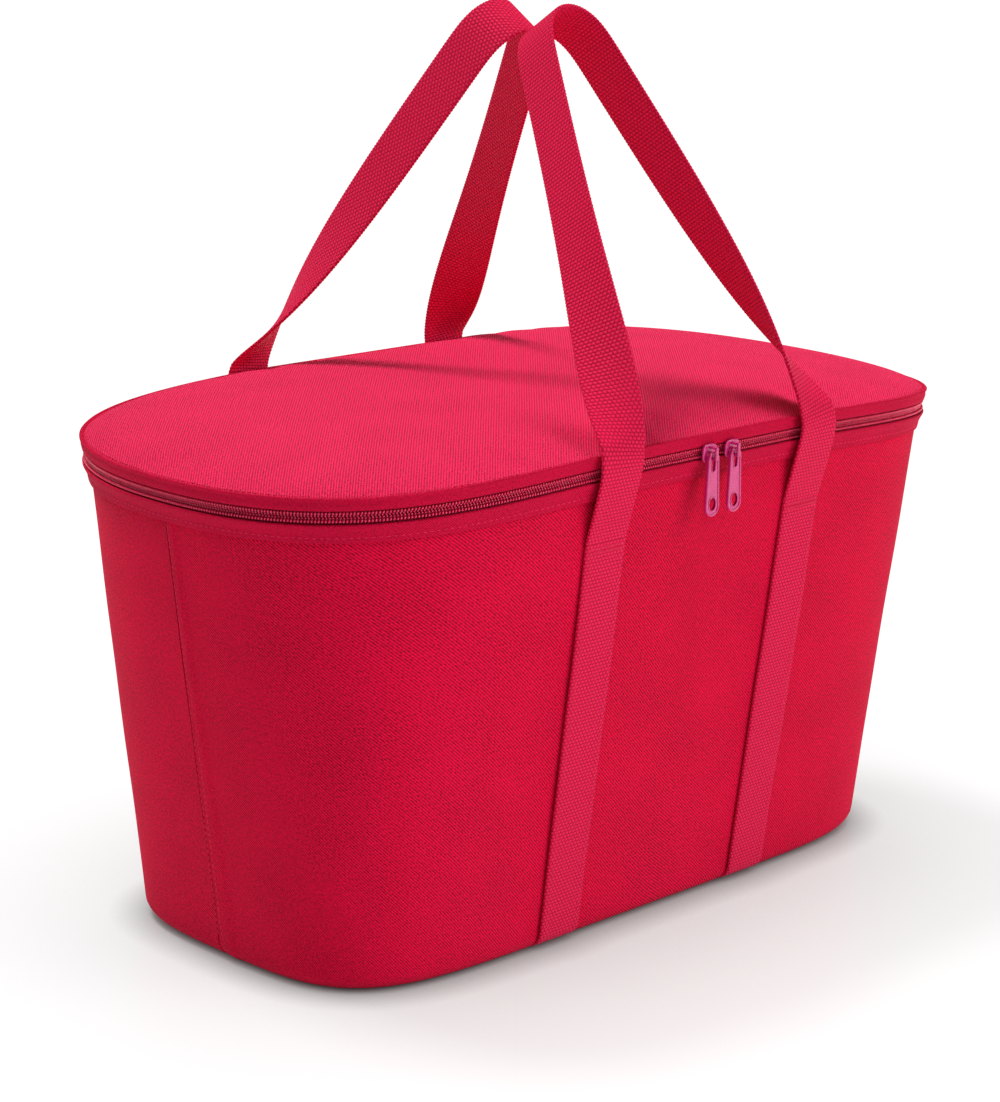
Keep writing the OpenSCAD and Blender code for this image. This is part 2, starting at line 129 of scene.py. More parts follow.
def rim_point(inset, z, turn):
    """Point of the rim: an inset from its outline, at a nominal height."""
    plan = outline(RIM_HALF - inset, RIM_SQUARE, turn)
    return np.concatenate([plan, (z - sag(plan[..., :1]))], axis=-1)


def wall_share(z):
    """How far up the wall a height is, from 0 at the base edge to 1 at the top seam."""
    return np.clip((z - BASE_ROUND) / (WALL_TOP - BASE_ROUND), 0, 1)


def wall_point(inset, z, turn):
    """Point of the tub's wall: an inset from its outer face, at a nominal height."""
    share = wall_share(z)
    low = outline(BASE_HALF - inset, BASE_SQUARE, turn)
    high = outline(WALL_HALF - inset, RIM_SQUARE, turn)
    plan = (1 - share) * low + share * high
    return np.concatenate([plan, z - share * sag(plan[..., :1])], axis=-1)


def even_turns(first, last, count, half=None, square=RIM_SQUARE):
    """Turns that split the outline between two turns into stretches of equal length."""
    half = RIM_HALF if half is None else half
    quarter = math.pi / 2 * (1 - (1 - np.linspace(0, 1, 500)) ** 3)
    half_lap = np.concatenate([quarter, math.pi - quarter[-2:0:-1]])
    laps = np.concatenate([half_lap + k * math.pi for k in range(4)])
    laps = np.unique(np.clip(laps, first, last))
    steps = np.linalg.norm(np.diff(outline(half, square, laps), axis=0), axis=1)
    run = np.concatenate([[0], np.cumsum(steps)])
    return np.interp(np.linspace(0, run[-1], count), run, laps)


def turn_at(x):
    """Turn in the first quarter at which the rim is this far from the bag's middle."""
    return math.acos((x / RIM_HALF[0]) ** (RIM_SQUARE[0] / 2))


def ripple(x, z):
    """Slight unevenness of foam-backed cloth, as a distance outwards."""
    slow = np.sin(31 * x + 9 * z + 0.6) * np.sin(23 * z + 14 * x + 1.1)
    quick = np.sin(67 * x - 38 * z + 2.0) * np.sin(49 * z + 0.4)
    return (0.45 * slow + 0.16 * quick) * MM


# ---- Meshes ----


def link(name, data):
    """New object in the scene."""
    made = bpy.data.objects.new(name, data)
    bpy.context.scene.collection.objects.link(made)
    return made


def new_object(name, points, faces, uv):
    """Smooth mesh object. uv holds the weave's place for each corner of each face, in metres."""
    mesh = bpy.data.meshes.new(name)
    mesh.from_pydata(points.tolist(), [], faces)
    layer = mesh.uv_layers.new(name="weave")
    layer.data.foreach_set("uv", np.asarray(uv, np.float32).ravel())
    piece = link(name, mesh)
    work = bmesh.new()
    work.from_mesh(mesh)
    bmesh.ops.remove_doubles(work, verts=work.verts, dist=1e-6)
    bmesh.ops.recalc_face_normals(work, faces=work.faces)
    work.to_mesh(mesh)
    work.free()
    mesh.shade_smooth()
    mesh.set_sharp_from_angle(angle=math.radians(50))
    return piece


def run_length(points):
    """Distance along a line of points, starting at 0."""
    steps = np.linalg.norm(np.diff(points, axis=0), axis=1)
    return np.concatenate([[0], np.cumsum(steps)])


def grid_faces(rows, columns, wrap_rows, wrap_columns):
    """Quads of a grid, and the row and column of each of their corners."""
    i, j = np.meshgrid(
        np.arange(rows if wrap_rows else rows - 1),
        np.arange(columns if wrap_columns else columns - 1),
        indexing="ij",
    )
    corner_rows = np.stack([i, i + 1, i + 1, i], axis=-1).reshape(-1, 4)
    corner_columns = np.stack([j, j, j + 1, j + 1], axis=-1).reshape(-1, 4)
    faces = (corner_rows % rows) * columns + corner_columns % columns
    return faces, corner_rows, corner_columns


def loft(name, loops, closed=False, start=0.0):
    """Solid through loops of points, of shape (stations, points, 3), whose weave starts at start."""
    stations, count = loops.shape[:2]
    faces, rows, columns = grid_faces(stations, count, closed, True)
    ring = np.concatenate([loops, loops[:1]]) if closed else loops
    along = start + run_length(ring.mean(axis=1))
    middle = loops[stations // 2]
    across = run_length(np.concatenate([middle, middle[:1]]))
    uv = np.stack([along[rows], across[columns]], axis=-1)
    faces, uv = faces.tolist(), uv.reshape(-1, 2).tolist()
    if not closed:
        for station in (0, stations - 1):
            faces.append([station * count + j for j in range(count)])
            uv += [[along[station], across[j]] for j in range(count)]
    return new_object(name, loops.reshape(-1, 3), faces, uv)


def ring_solid(name, rings):
    """Solid through level rings of points, of shape (rings, points, 3), whose weave lies in plan."""
    levels, count = rings.shape[:2]
    faces, _, _ = grid_faces(levels, count, False, True)
    last = (levels - 1) * count
    faces = faces.tolist() + [list(range(count)), list(range(last, last + count))]
    points = rings.reshape(-1, 3)
    uv = np.concatenate([points[face][:, :2] for face in faces])
    return new_object(name, points, faces, uv)


def scatter(name, shape, faces, places, axes):
    """Copies of one small shape. axes holds each copy's own three directions as rows."""
    points = np.einsum("pk,mkc->mpc", shape, axes) + places[:, None, :]
    count = len(shape)
    all_faces = [
        [corner + copy * count for corner in face] for copy in range(len(places)) for face in faces
    ]
    mesh = bpy.data.meshes.new(name)
    mesh.from_pydata(points.reshape(-1, 3).tolist(), [], all_faces)
    mesh.shade_smooth()
    return link(name, mesh)


def spindle(length, radii, heights):
    """Closed shape along its first axis, through rings of the given radii and heights."""
    sides = 6
    at = np.linspace(-length / 2, length / 2, len(radii) + 2)
    angles = np.arange(sides) * 2 * math.pi / sides
    points = [[at[0], 0, heights[0]]]
    for x, radius, height in zip(at[1:-1], radii, heights[1:-1]):
        points += [[x, radius * math.cos(a), height + radius * math.sin(a)] for a in angles]
    points.append([at[-1], 0, heights[-1]])
    last = len(points) - 1
    faces = []
    for k in range(sides):
        n = (k + 1) % sides
        faces.append([0, 1 + n, 1 + k])
        faces.append([last, last - sides + k, last - sides + n])
        for ring in range(len(radii) - 1):
            a = 1 + ring * sides
            faces.append([a + k, a + n, a + sides + n, a + sides + k])
    return np.array(points), faces


def unit(vectors):
    return vectors / np.linalg.norm(vectors, axis=-1, keepdims=True)


def read_along(at, run, values):
    """Values known at the distances run of a line, read at the distances at."""
    return np.stack([np.interp(at, run, values[:, c]) for c in range(3)], axis=-1)


def level_outwards(points):
    """Level directions out of the bag, at points whose first axis runs round it."""
    tangents = unit(np.gradient(points, axis=0))
    return unit(np.cross(tangents, [0, 0, 1]))


def resample(points, step):
    """The same line at even steps, and the tangents there."""
    run = run_length(points)
    count = max(2, round(run[-1] / step))
    at = (np.arange(count) + 0.5) * run[-1] / count
    ahead = read_along(at + step / 2, run, points)
    behind = read_along(at - step / 2, run, points)
    return read_along(at, run, points), unit(ahead - behind), at


def local_axes(tangents, outwards):
    """Rows of tangent, side and outward direction for each copy."""
    side = unit(np.cross(outwards, tangents))
    out = unit(np.cross(tangents, side))
    return np.stack([tangents, side, out], axis=1)


STITCH_LENGTH = 2.5 * MM
STITCH_STEP = 3.1 * MM
THREAD = 0.22 * MM


def stitches(name, path, outwards, body):
    """A row of lockstitches on a path, each end of a stitch sinking into the cloth."""
    places, tangents, at = resample(path, STITCH_STEP)
    out = read_along(at, run_length(path), outwards)
    radii = THREAD * np.array([0.75, 1, 1, 0.75])
    heights = THREAD * np.array([-1.6, -0.2, 0.45, 0.45, -0.2, -1.6])
    shape, faces = spindle(STITCH_LENGTH, radii, heights)
    row = scatter(name, shape, faces, places, local_axes(tangents, unit(out)))
    finish(row, THREAD_MATERIAL)
    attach(row, body)


def finish(piece, material):
    """Gives a piece its only material, in its only slot."""
    piece.data.materials.clear()
    piece.data.materials.append(material)
    return piece


def dress(piece, material, node, body):
    """Finishes a piece that stands in for one CAD node and rides on one body."""
    finish(piece, material)
    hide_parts(node)
    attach(piece, body)


def thick_line(line, thickness):
    """Closed profile of cloth whose outer face follows a line of (inset, height) points."""
    line = np.array(line, float)
    tangent = unit(np.gradient(line, axis=0))
    inward = np.stack([tangent[:, 1], -tangent[:, 0]], axis=-1)
    inner = line + inward * thickness
    middle = (line + inner) / 2
    noses = [middle[k] + sign * tangent[k] * thickness * 0.35 for k, sign in ((-1, 1), (0, -1))]
    return np.concatenate([line, noses[:1], inner[::-1], noses[1:]])


def rim_sweep(name, profile, turns, closed):
    """Solid that follows the rim, from a closed profile of (inset, height) points."""
    loops = np.stack([rim_point(inset, z, turns) for inset, z in profile], axis=1)
    return loft(name, loops, closed)


def rim_path(inset, z, turns):
    """Points along the rim and the outward directions there."""
    points = rim_point(inset, z, turns)
    return points, level_outwards(points)


# ---- Materials ----


class Recipe:
    """Node tree of one material, with short calls for what repeats."""

    def __init__(self, name, **surface):
        self.material = bpy.data.materials.new(name)
        self.material.use_nodes = True
        self.tree = self.material.node_tree
        self.shader = self.tree.nodes["Principled BSDF"]
        for socket, value in surface.items():
            self.shader.inputs[socket.replace("_", " ")].default_value = value

    def node(self, kind, **inputs):
        made = self.tree.nodes.new(kind)
        for socket, value in inputs.items():
            self.feed(made.inputs[socket.replace("_", " ")], value)
        return made

    def feed(self, socket, value):
        if isinstance(value, bpy.types.NodeSocket):
            self.tree.links.new(value, socket)
        else:
            socket.default_value = value

    def math(self, operation, *values):
        made = self.tree.nodes.new("ShaderNodeMath")
        made.operation = operation
        for socket, value in zip(made.inputs, values):
            self.feed(socket, value)
        return made.outputs[0]

    def weave_axes(self):
        """The two directions of the cloth, in metres."""
        place = self.node("ShaderNodeUVMap")
        place.uv_map = "weave"
        split = self.node("ShaderNodeSeparateXYZ", Vector=place.outputs["UV"])
        return split.outputs["X"], split.outputs["Y"], place.outputs["UV"]

    def wave(self, value, period):
        """A smooth wave from 0 to 1 over each period."""
        turned = self.math("MULTIPLY", value, 2 * math.pi / period)
        return self.math("MULTIPLY_ADD", self.math("SINE", turned), 0.5, 0.5)

    def noise(self, where, size, detail):
        made = self.node("ShaderNodeTexNoise", Scale=1 / size, Detail=detail, Vector=where)
        return made.outputs["Fac"]

    def object_place(self):
        return self.node("ShaderNodeTexCoord").outputs["Object"]

    def paint(self, share, dark, light):
        """Base colour between two colours, by a share from 0 to 1."""
        mix = self.tree.nodes.new("ShaderNodeMix")
        mix.data_type = "RGBA"
        self.feed(mix.inputs["Factor"], share)
        mix.inputs["A"].default_value = (*dark, 1)
        mix.inputs["B"].default_value = (*light, 1)
        self.feed(self.shader.inputs["Base Color"], mix.outputs["Result"])

    def emboss(self, height, depth, strength):
        bump = self.node("ShaderNodeBump", Height=height, Distance=depth, Strength=strength)
        self.feed(self.shader.inputs["Normal"], bump.outputs["Normal"])

    def rough(self, share, low, high):
        value = self.math("MULTIPLY_ADD", share, high - low, low)
        self.feed(self.shader.inputs["Roughness"], value)


def cloth_recipe(name, sheen, sheen_roughness, specular, tint=(1.0, 0.3, 0.45, 1)):
    """Red cloth: little mirror shine, and fibres that catch the light at a glancing angle."""
    shine = {"Specular_IOR_Level": specular, "Sheen_Weight": sheen}
    return Recipe(name, Sheen_Roughness=sheen_roughness, Sheen_Tint=tint, **shine)


def twill(name, dark, light, pitch=1.6 * MM, sheen=0.02):
    """Polyester twill: raised diagonal cords, crossed by finer threads, with heathered yarn; the colour
    also carries painted shade in the grooves between the cords.
    """
    recipe = cloth_recipe(name, sheen, 0.4, 0.08)
    u, v, place = recipe.weave_axes()
    uneven = recipe.noise(place, 1.1 * MM, 3.0)
    patchy = recipe.noise(place, 35 * MM, 2.0)
    shifted = recipe.math("MULTIPLY_ADD", uneven, 1.1 * MM, recipe.math("ADD", u, v))
    cords = recipe.wave(shifted, pitch)
    threads = recipe.wave(recipe.math("SUBTRACT", u, v), pitch * 0.47)
    height = recipe.math("MULTIPLY_ADD", threads, 0.25, recipe.math("MULTIPLY", cords, 0.75))
    yarn = recipe.math("MULTIPLY_ADD", uneven, 3.2, -1.6)
    # Colour follows the cords' height: painted shade in the grooves, over the yarn's real heathered tone
    groove_shade_and_heather = recipe.math("MULTIPLY_ADD", height, 1.0, recipe.math("MULTIPLY", yarn, 0.5))
    share = recipe.math("MULTIPLY_ADD", patchy, 0.3, groove_shade_and_heather)
    recipe.paint(share, dark, light)
    recipe.rough(uneven, 0.62, 0.86)
    recipe.emboss(recipe.math("MULTIPLY_ADD", uneven, 0.35, height), 0.3 * MM, 0.8)
    return recipe.material


def webbing_cloth(name, dark, light):
    """Heavy basket-woven webbing: bold picks laid like bricks across the band, painted lighter on their
    tops and darker in the gaps between them as painted highlight and shade.
    """
    recipe = cloth_recipe(name, 0.03, 0.35, 0.1, (1.0, 0.3, 0.5, 1))
    along, across, place = recipe.weave_axes()
    pick = recipe.math("DIVIDE", along, WEB_PICK)
    row = recipe.math("FLOOR", pick)
    offset = recipe.math("MULTIPLY", recipe.math("MODULO", row, 2.0), 0.5)
    brick = recipe.math("ADD", recipe.math("DIVIDE", across, 2.1 * MM), offset)
    bump_along = recipe.math("ABSOLUTE", recipe.math("SINE", recipe.math("MULTIPLY", pick, math.pi)))
    bump_across = recipe.math("ABSOLUTE", recipe.math("SINE", recipe.math("MULTIPLY", brick, math.pi)))
    pillow = recipe.math("POWER", recipe.math("MULTIPLY", bump_along, bump_across), 0.6)
    fuzz = recipe.noise(place, 0.7 * MM, 3.0)
    height = recipe.math("MULTIPLY_ADD", fuzz, 0.25, pillow)
    # Colour follows the picks' height as painted highlight on their tops and painted shade in the gaps,
    # with the fuzz's real uneven tone
    share = recipe.math("MULTIPLY_ADD", fuzz, 0.5, recipe.math("MULTIPLY", pillow, 0.9))
    recipe.paint(recipe.math("SUBTRACT", share, 0.3), dark, light)
    recipe.rough(fuzz, 0.5, 0.75)
    recipe.emboss(height, 0.45 * MM, 1.0)
    return recipe.material


def ribbed_tape(name, dark, light, pitch=0.9 * MM):
    """Narrow woven tape with fine ribs across it."""
    recipe = Recipe(name, Sheen_Weight=0.05, Sheen_Tint=(1.0, 0.3, 0.45, 1), Specular_IOR_Level=0.15)
    u, _, place = recipe.weave_axes()
    ribs = recipe.wave(u, pitch)
    uneven = recipe.noise(place, 0.8 * MM, 2.0)
    height = recipe.math("MULTIPLY_ADD", uneven, 0.4, ribs)
    recipe.paint(recipe.math("MULTIPLY", height, 0.7), dark, light)
    recipe.rough(uneven, 0.6, 0.85)
    recipe.emboss(height, 0.12 * MM, 0.8)
    return recipe.material


def twisted_thread(name, dark, light):
    """Sewing thread: two plies that twist round each other, with a slight shine."""
    recipe = Recipe(name, Specular_IOR_Level=0.3, Sheen_Weight=0.08, Sheen_Tint=(1.0, 0.35, 0.5, 1))
    place = recipe.object_place()
    plies = recipe.node("ShaderNodeTexWave", Scale=1 / (0.9 * MM), Distortion=1.0, Vector=place)
    plies.bands_direction = "DIAGONAL"
    recipe.paint(plies.outputs["Fac"], dark, light)
    recipe.rough(plies.outputs["Fac"], 0.45, 0.6)
    recipe.emboss(plies.outputs["Fac"], 0.05 * MM, 0.6)
    return recipe.material


def glossy_plastic(name, dark, light, coat):
    """Tinted translucent plastic with faint flow marks and a fine grain."""
    recipe = Recipe(name, Specular_IOR_Level=0.5, Coat_Weight=coat, Coat_Roughness=0.1)
    recipe.shader.inputs["Subsurface Weight"].default_value = 0.2
    recipe.shader.inputs["Subsurface Scale"].default_value = 0.002
    place = recipe.object_place()
    flow = recipe.noise(place, 3.5 * MM, 3.0)
    grain = recipe.noise(place, 0.35 * MM, 2.0)
    recipe.paint(flow, dark, light)
    recipe.rough(grain, 0.16, 0.4)
    recipe.emboss(grain, 0.02 * MM, 0.4)
    return recipe.material


def closed_cell_foam(name, dark, light):
    """Fine closed-cell foam with tiny pits."""
    recipe = Recipe(name, Specular_IOR_Level=0.2, Subsurface_Weight=0.1, Subsurface_Scale=0.003)
    place = recipe.object_place()
    cells = recipe.node("ShaderNodeTexVoronoi", Scale=1 / (0.9 * MM), Vector=place)
    blotches = recipe.noise(place, 18 * MM, 3.0)
    recipe.paint(recipe.math("MULTIPLY_ADD", blotches, 0.6, cells.outputs["Distance"]), dark, light)
    recipe.rough(blotches, 0.8, 0.95)
    recipe.emboss(cells.outputs["Distance"], 0.3 * MM, 0.7)
    return recipe.material


def stiff_board(name, dark, light):
    """Moulded board with a fine leather-like grain."""
    recipe = Recipe(name, Specular_IOR_Level=0.4)
    place = recipe.object_place()
    grain = recipe.noise(place, 1.4 * MM, 4.0)
    recipe.paint(grain, dark, light)
    recipe.rough(grain, 0.45, 0.7)
    recipe.emboss(grain, 0.1 * MM, 0.6)
    return recipe.material


def foil_lining(name, dark, light):
    """Reinforced foil: a fine embossed lattice over soft creases."""
    recipe = Recipe(name, Metallic=0.55, Specular_IOR_Level=0.5, Coat_Weight=0.15, Coat_Roughness=0.3)
    u, v, place = recipe.weave_axes()
    lattice = recipe.math("MULTIPLY", recipe.wave(u, 2.4 * MM), recipe.wave(v, 2.4 * MM))
    creases = recipe.noise(place, 22 * MM, 5.0)
    specks = recipe.noise(place, 1.5 * MM, 2.0)
    grit = recipe.math("MULTIPLY", specks, 0.3)
    recipe.paint(recipe.math("MULTIPLY_ADD", creases, 0.7, grit), dark, light)
    recipe.rough(creases, 0.28, 0.5)
    recipe.emboss(recipe.math("MULTIPLY_ADD", creases, 8.0, lattice), 0.12 * MM, 0.7)
    return recipe.material


# Reach in metres and strength of the two shades, a wide one and a contact one
FLOOR_SHADES = ((0.16, 0.5), (0.02, 0.9))
# Strength of the floor's painted glow
FLOOR_GLOW = 0.86


def floor_paint(name):
    """Pale floor with a painted glow, darkened close to what stands on it into painted shadows."""
    recipe = Recipe(name, Specular_IOR_Level=0.2, Emission_Color=(1, 1, 1, 1))
    haze = recipe.noise(recipe.object_place(), 0.6, 1.0)
    recipe.paint(haze, (0.16, 0.16, 0.161), (0.17, 0.17, 0.171))
    shade = FLOOR_GLOW
    # Painted shadows: ambient occlusion dims the painted glow near the bag, a wide shadow and a contact
    # one
    for reach, depth in FLOOR_SHADES:
        closeness = recipe.node("ShaderNodeAmbientOcclusion", Distance=reach)
        closeness.samples = 6
        shade = recipe.math("MULTIPLY", recipe.math("POWER", closeness.outputs["AO"], depth), shade)
    recipe.feed(recipe.shader.inputs["Emission Strength"], shade)
    recipe.rough(haze, 0.32, 0.4)
    return recipe.material


WEB_PICK = 1.7 * MM
CLOTH = twill("crimson_twill", (0.14, 0.0002, 0.007), (0.95, 0.0015, 0.056), sheen=0.006)
# The lid's copy of the crimson twill is painted lighter and pinker: painted light and painted sheen from
# the light above it
LID_CLOTH_PAINTED_LIGHT = twill("lid_twill_painted_light", (0.26, 0.003, 0.026), (1.0, 0.024, 0.115), sheen=0.09)
BAND_CLOTH = twill("band_twill", (0.26, 0.0005, 0.016), (0.78, 0.002, 0.054), pitch=1.2 * MM)
WEBBING = webbing_cloth("handle_webbing", (0.54, 0.0008, 0.030), (1.0, 0.015, 0.110))
BINDING = ribbed_tape("grosgrain_binding", (0.28, 0.0005, 0.016), (0.62, 0.003, 0.042))
ZIP_TAPE = ribbed_tape("zip_tape", (0.09, 0.0004, 0.009), (0.30, 0.001, 0.026), 0.7 * MM)
ZIP_TEETH = glossy_plastic("zip_coil", (0.60, 0.002, 0.050), (1.0, 0.016, 0.12), 0.3)
HARDWARE = glossy_plastic("slider_enamel", (0.50, 0.004, 0.13), (0.80, 0.018, 0.24), 0.6)
THREAD_MATERIAL = twisted_thread("sewing_thread", (0.60, 0.001, 0.045), (1.0, 0.010, 0.110))
FOAM = closed_cell_foam("closed_cell_foam", (0.62, 0.62, 0.60), (0.85, 0.85, 0.83))
BOARD = stiff_board("base_board", (0.03, 0.03, 0.035), (0.09, 0.09, 0.095))
LINING = foil_lining("foil_lining", (0.42, 0.43, 0.45), (0.74, 0.75, 0.77))

# ---- Camera ----


CAMERA_AZIMUTH, CAMERA_ELEVATION, CAMERA_ROLL = -45.46, 14.63, 1.14
CAMERA_TARGET = Vector((0, 0, 0.150))
CAMERA_DISTANCE = 1.4026
CAMERA_LENS = 94.2
CAMERA_SHIFT = (-0.0193, 0.0157)


def direction(azimuth, elevation):
    """Unit vector away from the bag at an azimuth and an elevation, in radians."""
    reach = math.cos(elevation)
    return Vector((math.sin(azimuth) * reach, -math.cos(azimuth) * reach, math.sin(elevation)))


def make_camera():
    azimuth, roll = math.radians(CAMERA_AZIMUTH), math.radians(CAMERA_ROLL)
    back = direction(azimuth, math.radians(CAMERA_ELEVATION))
    level = Vector((math.cos(azimuth), math.sin(azimuth), 0))
    upright = back.cross(level)
    right = math.cos(roll) * level + math.sin(roll) * upright
    up = -math.sin(roll) * level + math.cos(roll) * upright
    data = bpy.data.cameras.new("camera")
    data.sensor_fit = "AUTO"
    data.sensor_width = 36
    data.lens = CAMERA_LENS
    data.shift_x, data.shift_y = CAMERA_SHIFT
    camera = link("camera", data)
    turned = Matrix((right, up, back)).transposed().to_4x4()
    camera.matrix_world = Matrix.Translation(CAMERA_TARGET + back * CAMERA_DISTANCE) @ turned
    bpy.context.scene.camera = camera


make_camera()

# ---- Tub: outer panels ----

WALL_COLUMNS = 300
EDGE_ANGLES = np.radians([90, 75, 60, 45, 30, 15])
FOLD_WIDTH = 5.5 * MM
FOLD_HEIGHT = 0.7 * MM
GROOVE_DEPTH = 1.1 * MM
GATHER_REACH = 14 * MM
GATHER_HEIGHT = 0.13 * MM
TUCK_REACH = 3.5 * MM
TUCK_DEPTH = 1.0 * MM
# Height over which the cloth's unevenness grows from nothing at the base
CALM_FOOT = 30 * MM


def edge_profile(depth, top, rows):
    """(inset, height) points from the base edge up a wall layer, depth below the outer face."""
    radius = BASE_ROUND - depth
    round_part = [
        (BASE_ROUND - radius * math.cos(a), BASE_ROUND - radius * math.sin(a)) for a in EDGE_ANGLES
    ]
    return round_part + [(depth, z) for z in np.linspace(BASE_ROUND, top, rows)]


def fold_lift(run, total):
    """Extra thickness of the felled seam along the two ends of the front panel."""
    from_end = np.minimum(run, total - run)
    edge = np.clip((FOLD_WIDTH - from_end) / (1.2 * MM), 0, 1)
    groove = np.clip(1 - from_end / (1.0 * MM), 0, 1)
    return FOLD_HEIGHT * edge * edge * (3 - 2 * edge) - GROOVE_DEPTH * groove**2


def pucker(run, z):
    """Small gathers of the cloth under the stitched top seam."""
    below = np.clip(1 - (WALL_TOP - z) / GATHER_REACH, 0, 1)
    tuck = np.clip(1 - (WALL_TOP - z) / TUCK_REACH, 0, 1)
    gathers = np.sin(run / (2.6 * MM)) + 0.6 * np.sin(run / (1.7 * MM) + 1.3)
    return GATHER_HEIGHT * below**2 * gathers - TUCK_DEPTH * tuck**2


# Cloth never sinks as far as its own thickness, so the foam stays covered
DEEPEST_SINK = FABRIC - 0.15 * MM


def wall_loops(profile, turns, raised):
    """Loops up the wall through (inset, height) points, with the cloth's unevenness."""
    run = run_length(outline(WALL_HALF, RIM_SQUARE, turns))
    loops = np.stack([wall_point(inset, z, turns) for inset, z in profile], axis=1)
    x, z = loops[..., 0], loops[..., 2]
    level = np.array([height for _, height in profile])[None, :]
    lift = ripple(x, z) * np.clip(level / CALM_FOOT, 0, 1) * (x**2 < (RIM_HALF[0] * 0.99) ** 2)
    lift = np.maximum(lift + pucker(run[:, None], level), -DEEPEST_SINK)
    if raised:
        lift = lift + fold_lift(run, run[-1])[:, None]
    return loops + level_outwards(loops) * lift[..., None]


def wall_panel(name, first, raised, node):
    """Half of the tub's outer cloth, from one end of the bag to the other."""
    turns = even_turns(first, first + math.pi, WALL_COLUMNS, WALL_HALF)
    outer = edge_profile(0, WALL_TOP, 64)
    inner = edge_profile(FABRIC, WALL_TOP, 10)
    profile = outer + inner[::-1]
    panel = loft(name, wall_loops(profile, turns, raised))
    finish(panel, CLOTH)
    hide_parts(node)
    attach(panel, "bag")


wall_panel("front_panel", math.pi, True, "front_outer_panel")
wall_panel("back_panel", 0.0, False, "back_outer_panel")


def flat_panel(name, half, square, z, thickness, dome=0.0):
    """Flat panel in plan, built from rings that shrink to its middle."""
    turns = even_turns(0, 2 * math.pi, 241, half, square)[:-1]
    shares = np.concatenate([np.linspace(1, 0.1, 19), [0.02]])
    upper = []
    lower = []
    for share in shares:
        ring = outline(half, square, turns) * share
        rise = dome * (1 - share**4)
        upper.append(np.column_stack([ring, np.full(len(ring), z + thickness + rise)]))
        lower.append(np.column_stack([ring, np.full(len(ring), z + rise)]))
    return ring_solid(name, np.array(lower[::-1] + upper))


base = flat_panel("base_panel", BASE_HALF - BASE_ROUND + 0.6 * MM, BASE_SQUARE, 0.0, FABRIC)
dress(base, CLOTH, "base_outer_panel", "bag")


def side_word(side):
    return "left" if side < 0 else "right"


def end_seam_stitches(side):
    """Two rows of stitches down the felled seam at one end of the bag."""
    heights = np.linspace(BASE_ROUND + 3 * MM, WALL_TOP - 2 * MM, 60)
    for number, distance in enumerate((1.6 * MM, 4.2 * MM)):
        path = []
        for z in heights:
            share = wall_share(z)
            half = (1 - share) * BASE_HALF[0] + share * WALL_HALF[0]
            path.append([side * (half + FOLD_HEIGHT), -distance, z - share * sag(half)])
        path = np.array(path)
        out = np.tile([side * 1.0, 0, 0], (len(path), 1))
        stitches(f"end_seam_stitches_{side_word(side)}_{number + 1}", path, out, "bag")


for end in (-1, 1):
    end_seam_stitches(end)

# ---- Rim band and zip ----

RIM_COLUMNS = 560
LAP = even_turns(0, 2 * math.pi, RIM_COLUMNS + 1)[:-1]
CLOSED_LAP = np.append(LAP, 2 * math.pi)
ZIP_FIRST = math.pi - turn_at(ZIP_END_HALF)
ZIP_LAST = 2 * math.pi + turn_at(ZIP_END_HALF)
ZIP_LAP = even_turns(ZIP_FIRST, ZIP_LAST, RIM_COLUMNS)
HINGE_LAP = even_turns(turn_at(HINGE_HALF), math.pi - turn_at(HINGE_HALF), 130)


BAND_THICK = 0.75 * MM
TAPE_THICK = 0.5 * MM


def above(level, *pairs):
    """Profile points from pairs, in millimetres, of an inset and a height above a level."""
    return [(inset * MM, level + height * MM) for inset, height in pairs]


def make_lower_band():
    """Cloth band under the zip: folded at its top, felled onto the wall at its foot."""
    seam = (2.65, 1.2)
    line = above(WALL_TOP, (3.9, -1.3), (3.05, -1.2), (2.75, -0.4), seam, (2.05, 3.2), (1.15, 5.2))
    line += above(BAND_TOP, (0.62, -1.0), (0.55, -0.3), (1.0, 0.1))
    band = rim_sweep("rim_band", thick_line(line, BAND_THICK), LAP, True)
    dress(band, BAND_CLOTH, "lower_rim_band", "bag")
    path, out = rim_path(*above(WALL_TOP, seam)[0], CLOSED_LAP)
    stitches("rim_band_stitches", path, out, "bag")


def make_lid_band():
    """Cloth band between the zip and the lid's top seam."""
    low = UPPER_ROW_TOP + 0.3 * MM
    line = above(low, (0.9, -0.1), (0.45, 0.2), (0.3, 0.9), (0.05, 2.1), (0.1, 3.4), (0.05, 4.2))
    line += above(low, (-0.4, 4.7), (-0.45, 5.2), (0.0, 5.7), (0.8, 5.6), (1.5, 5.0))
    band = rim_sweep("lid_band", thick_line(line, BAND_THICK), LAP, True)
    dress(band, BAND_CLOTH, "lid_rim_band", "lid")


def make_zip_tape(name, node, line, body):
    """Half of the zip's tape, from one end stop round the front to the other."""
    tape = rim_sweep(name, thick_line(line, TAPE_THICK), ZIP_LAP, False)
    dress(tape, ZIP_TAPE, node, body)


COIL_PITCH = 1.5 * MM


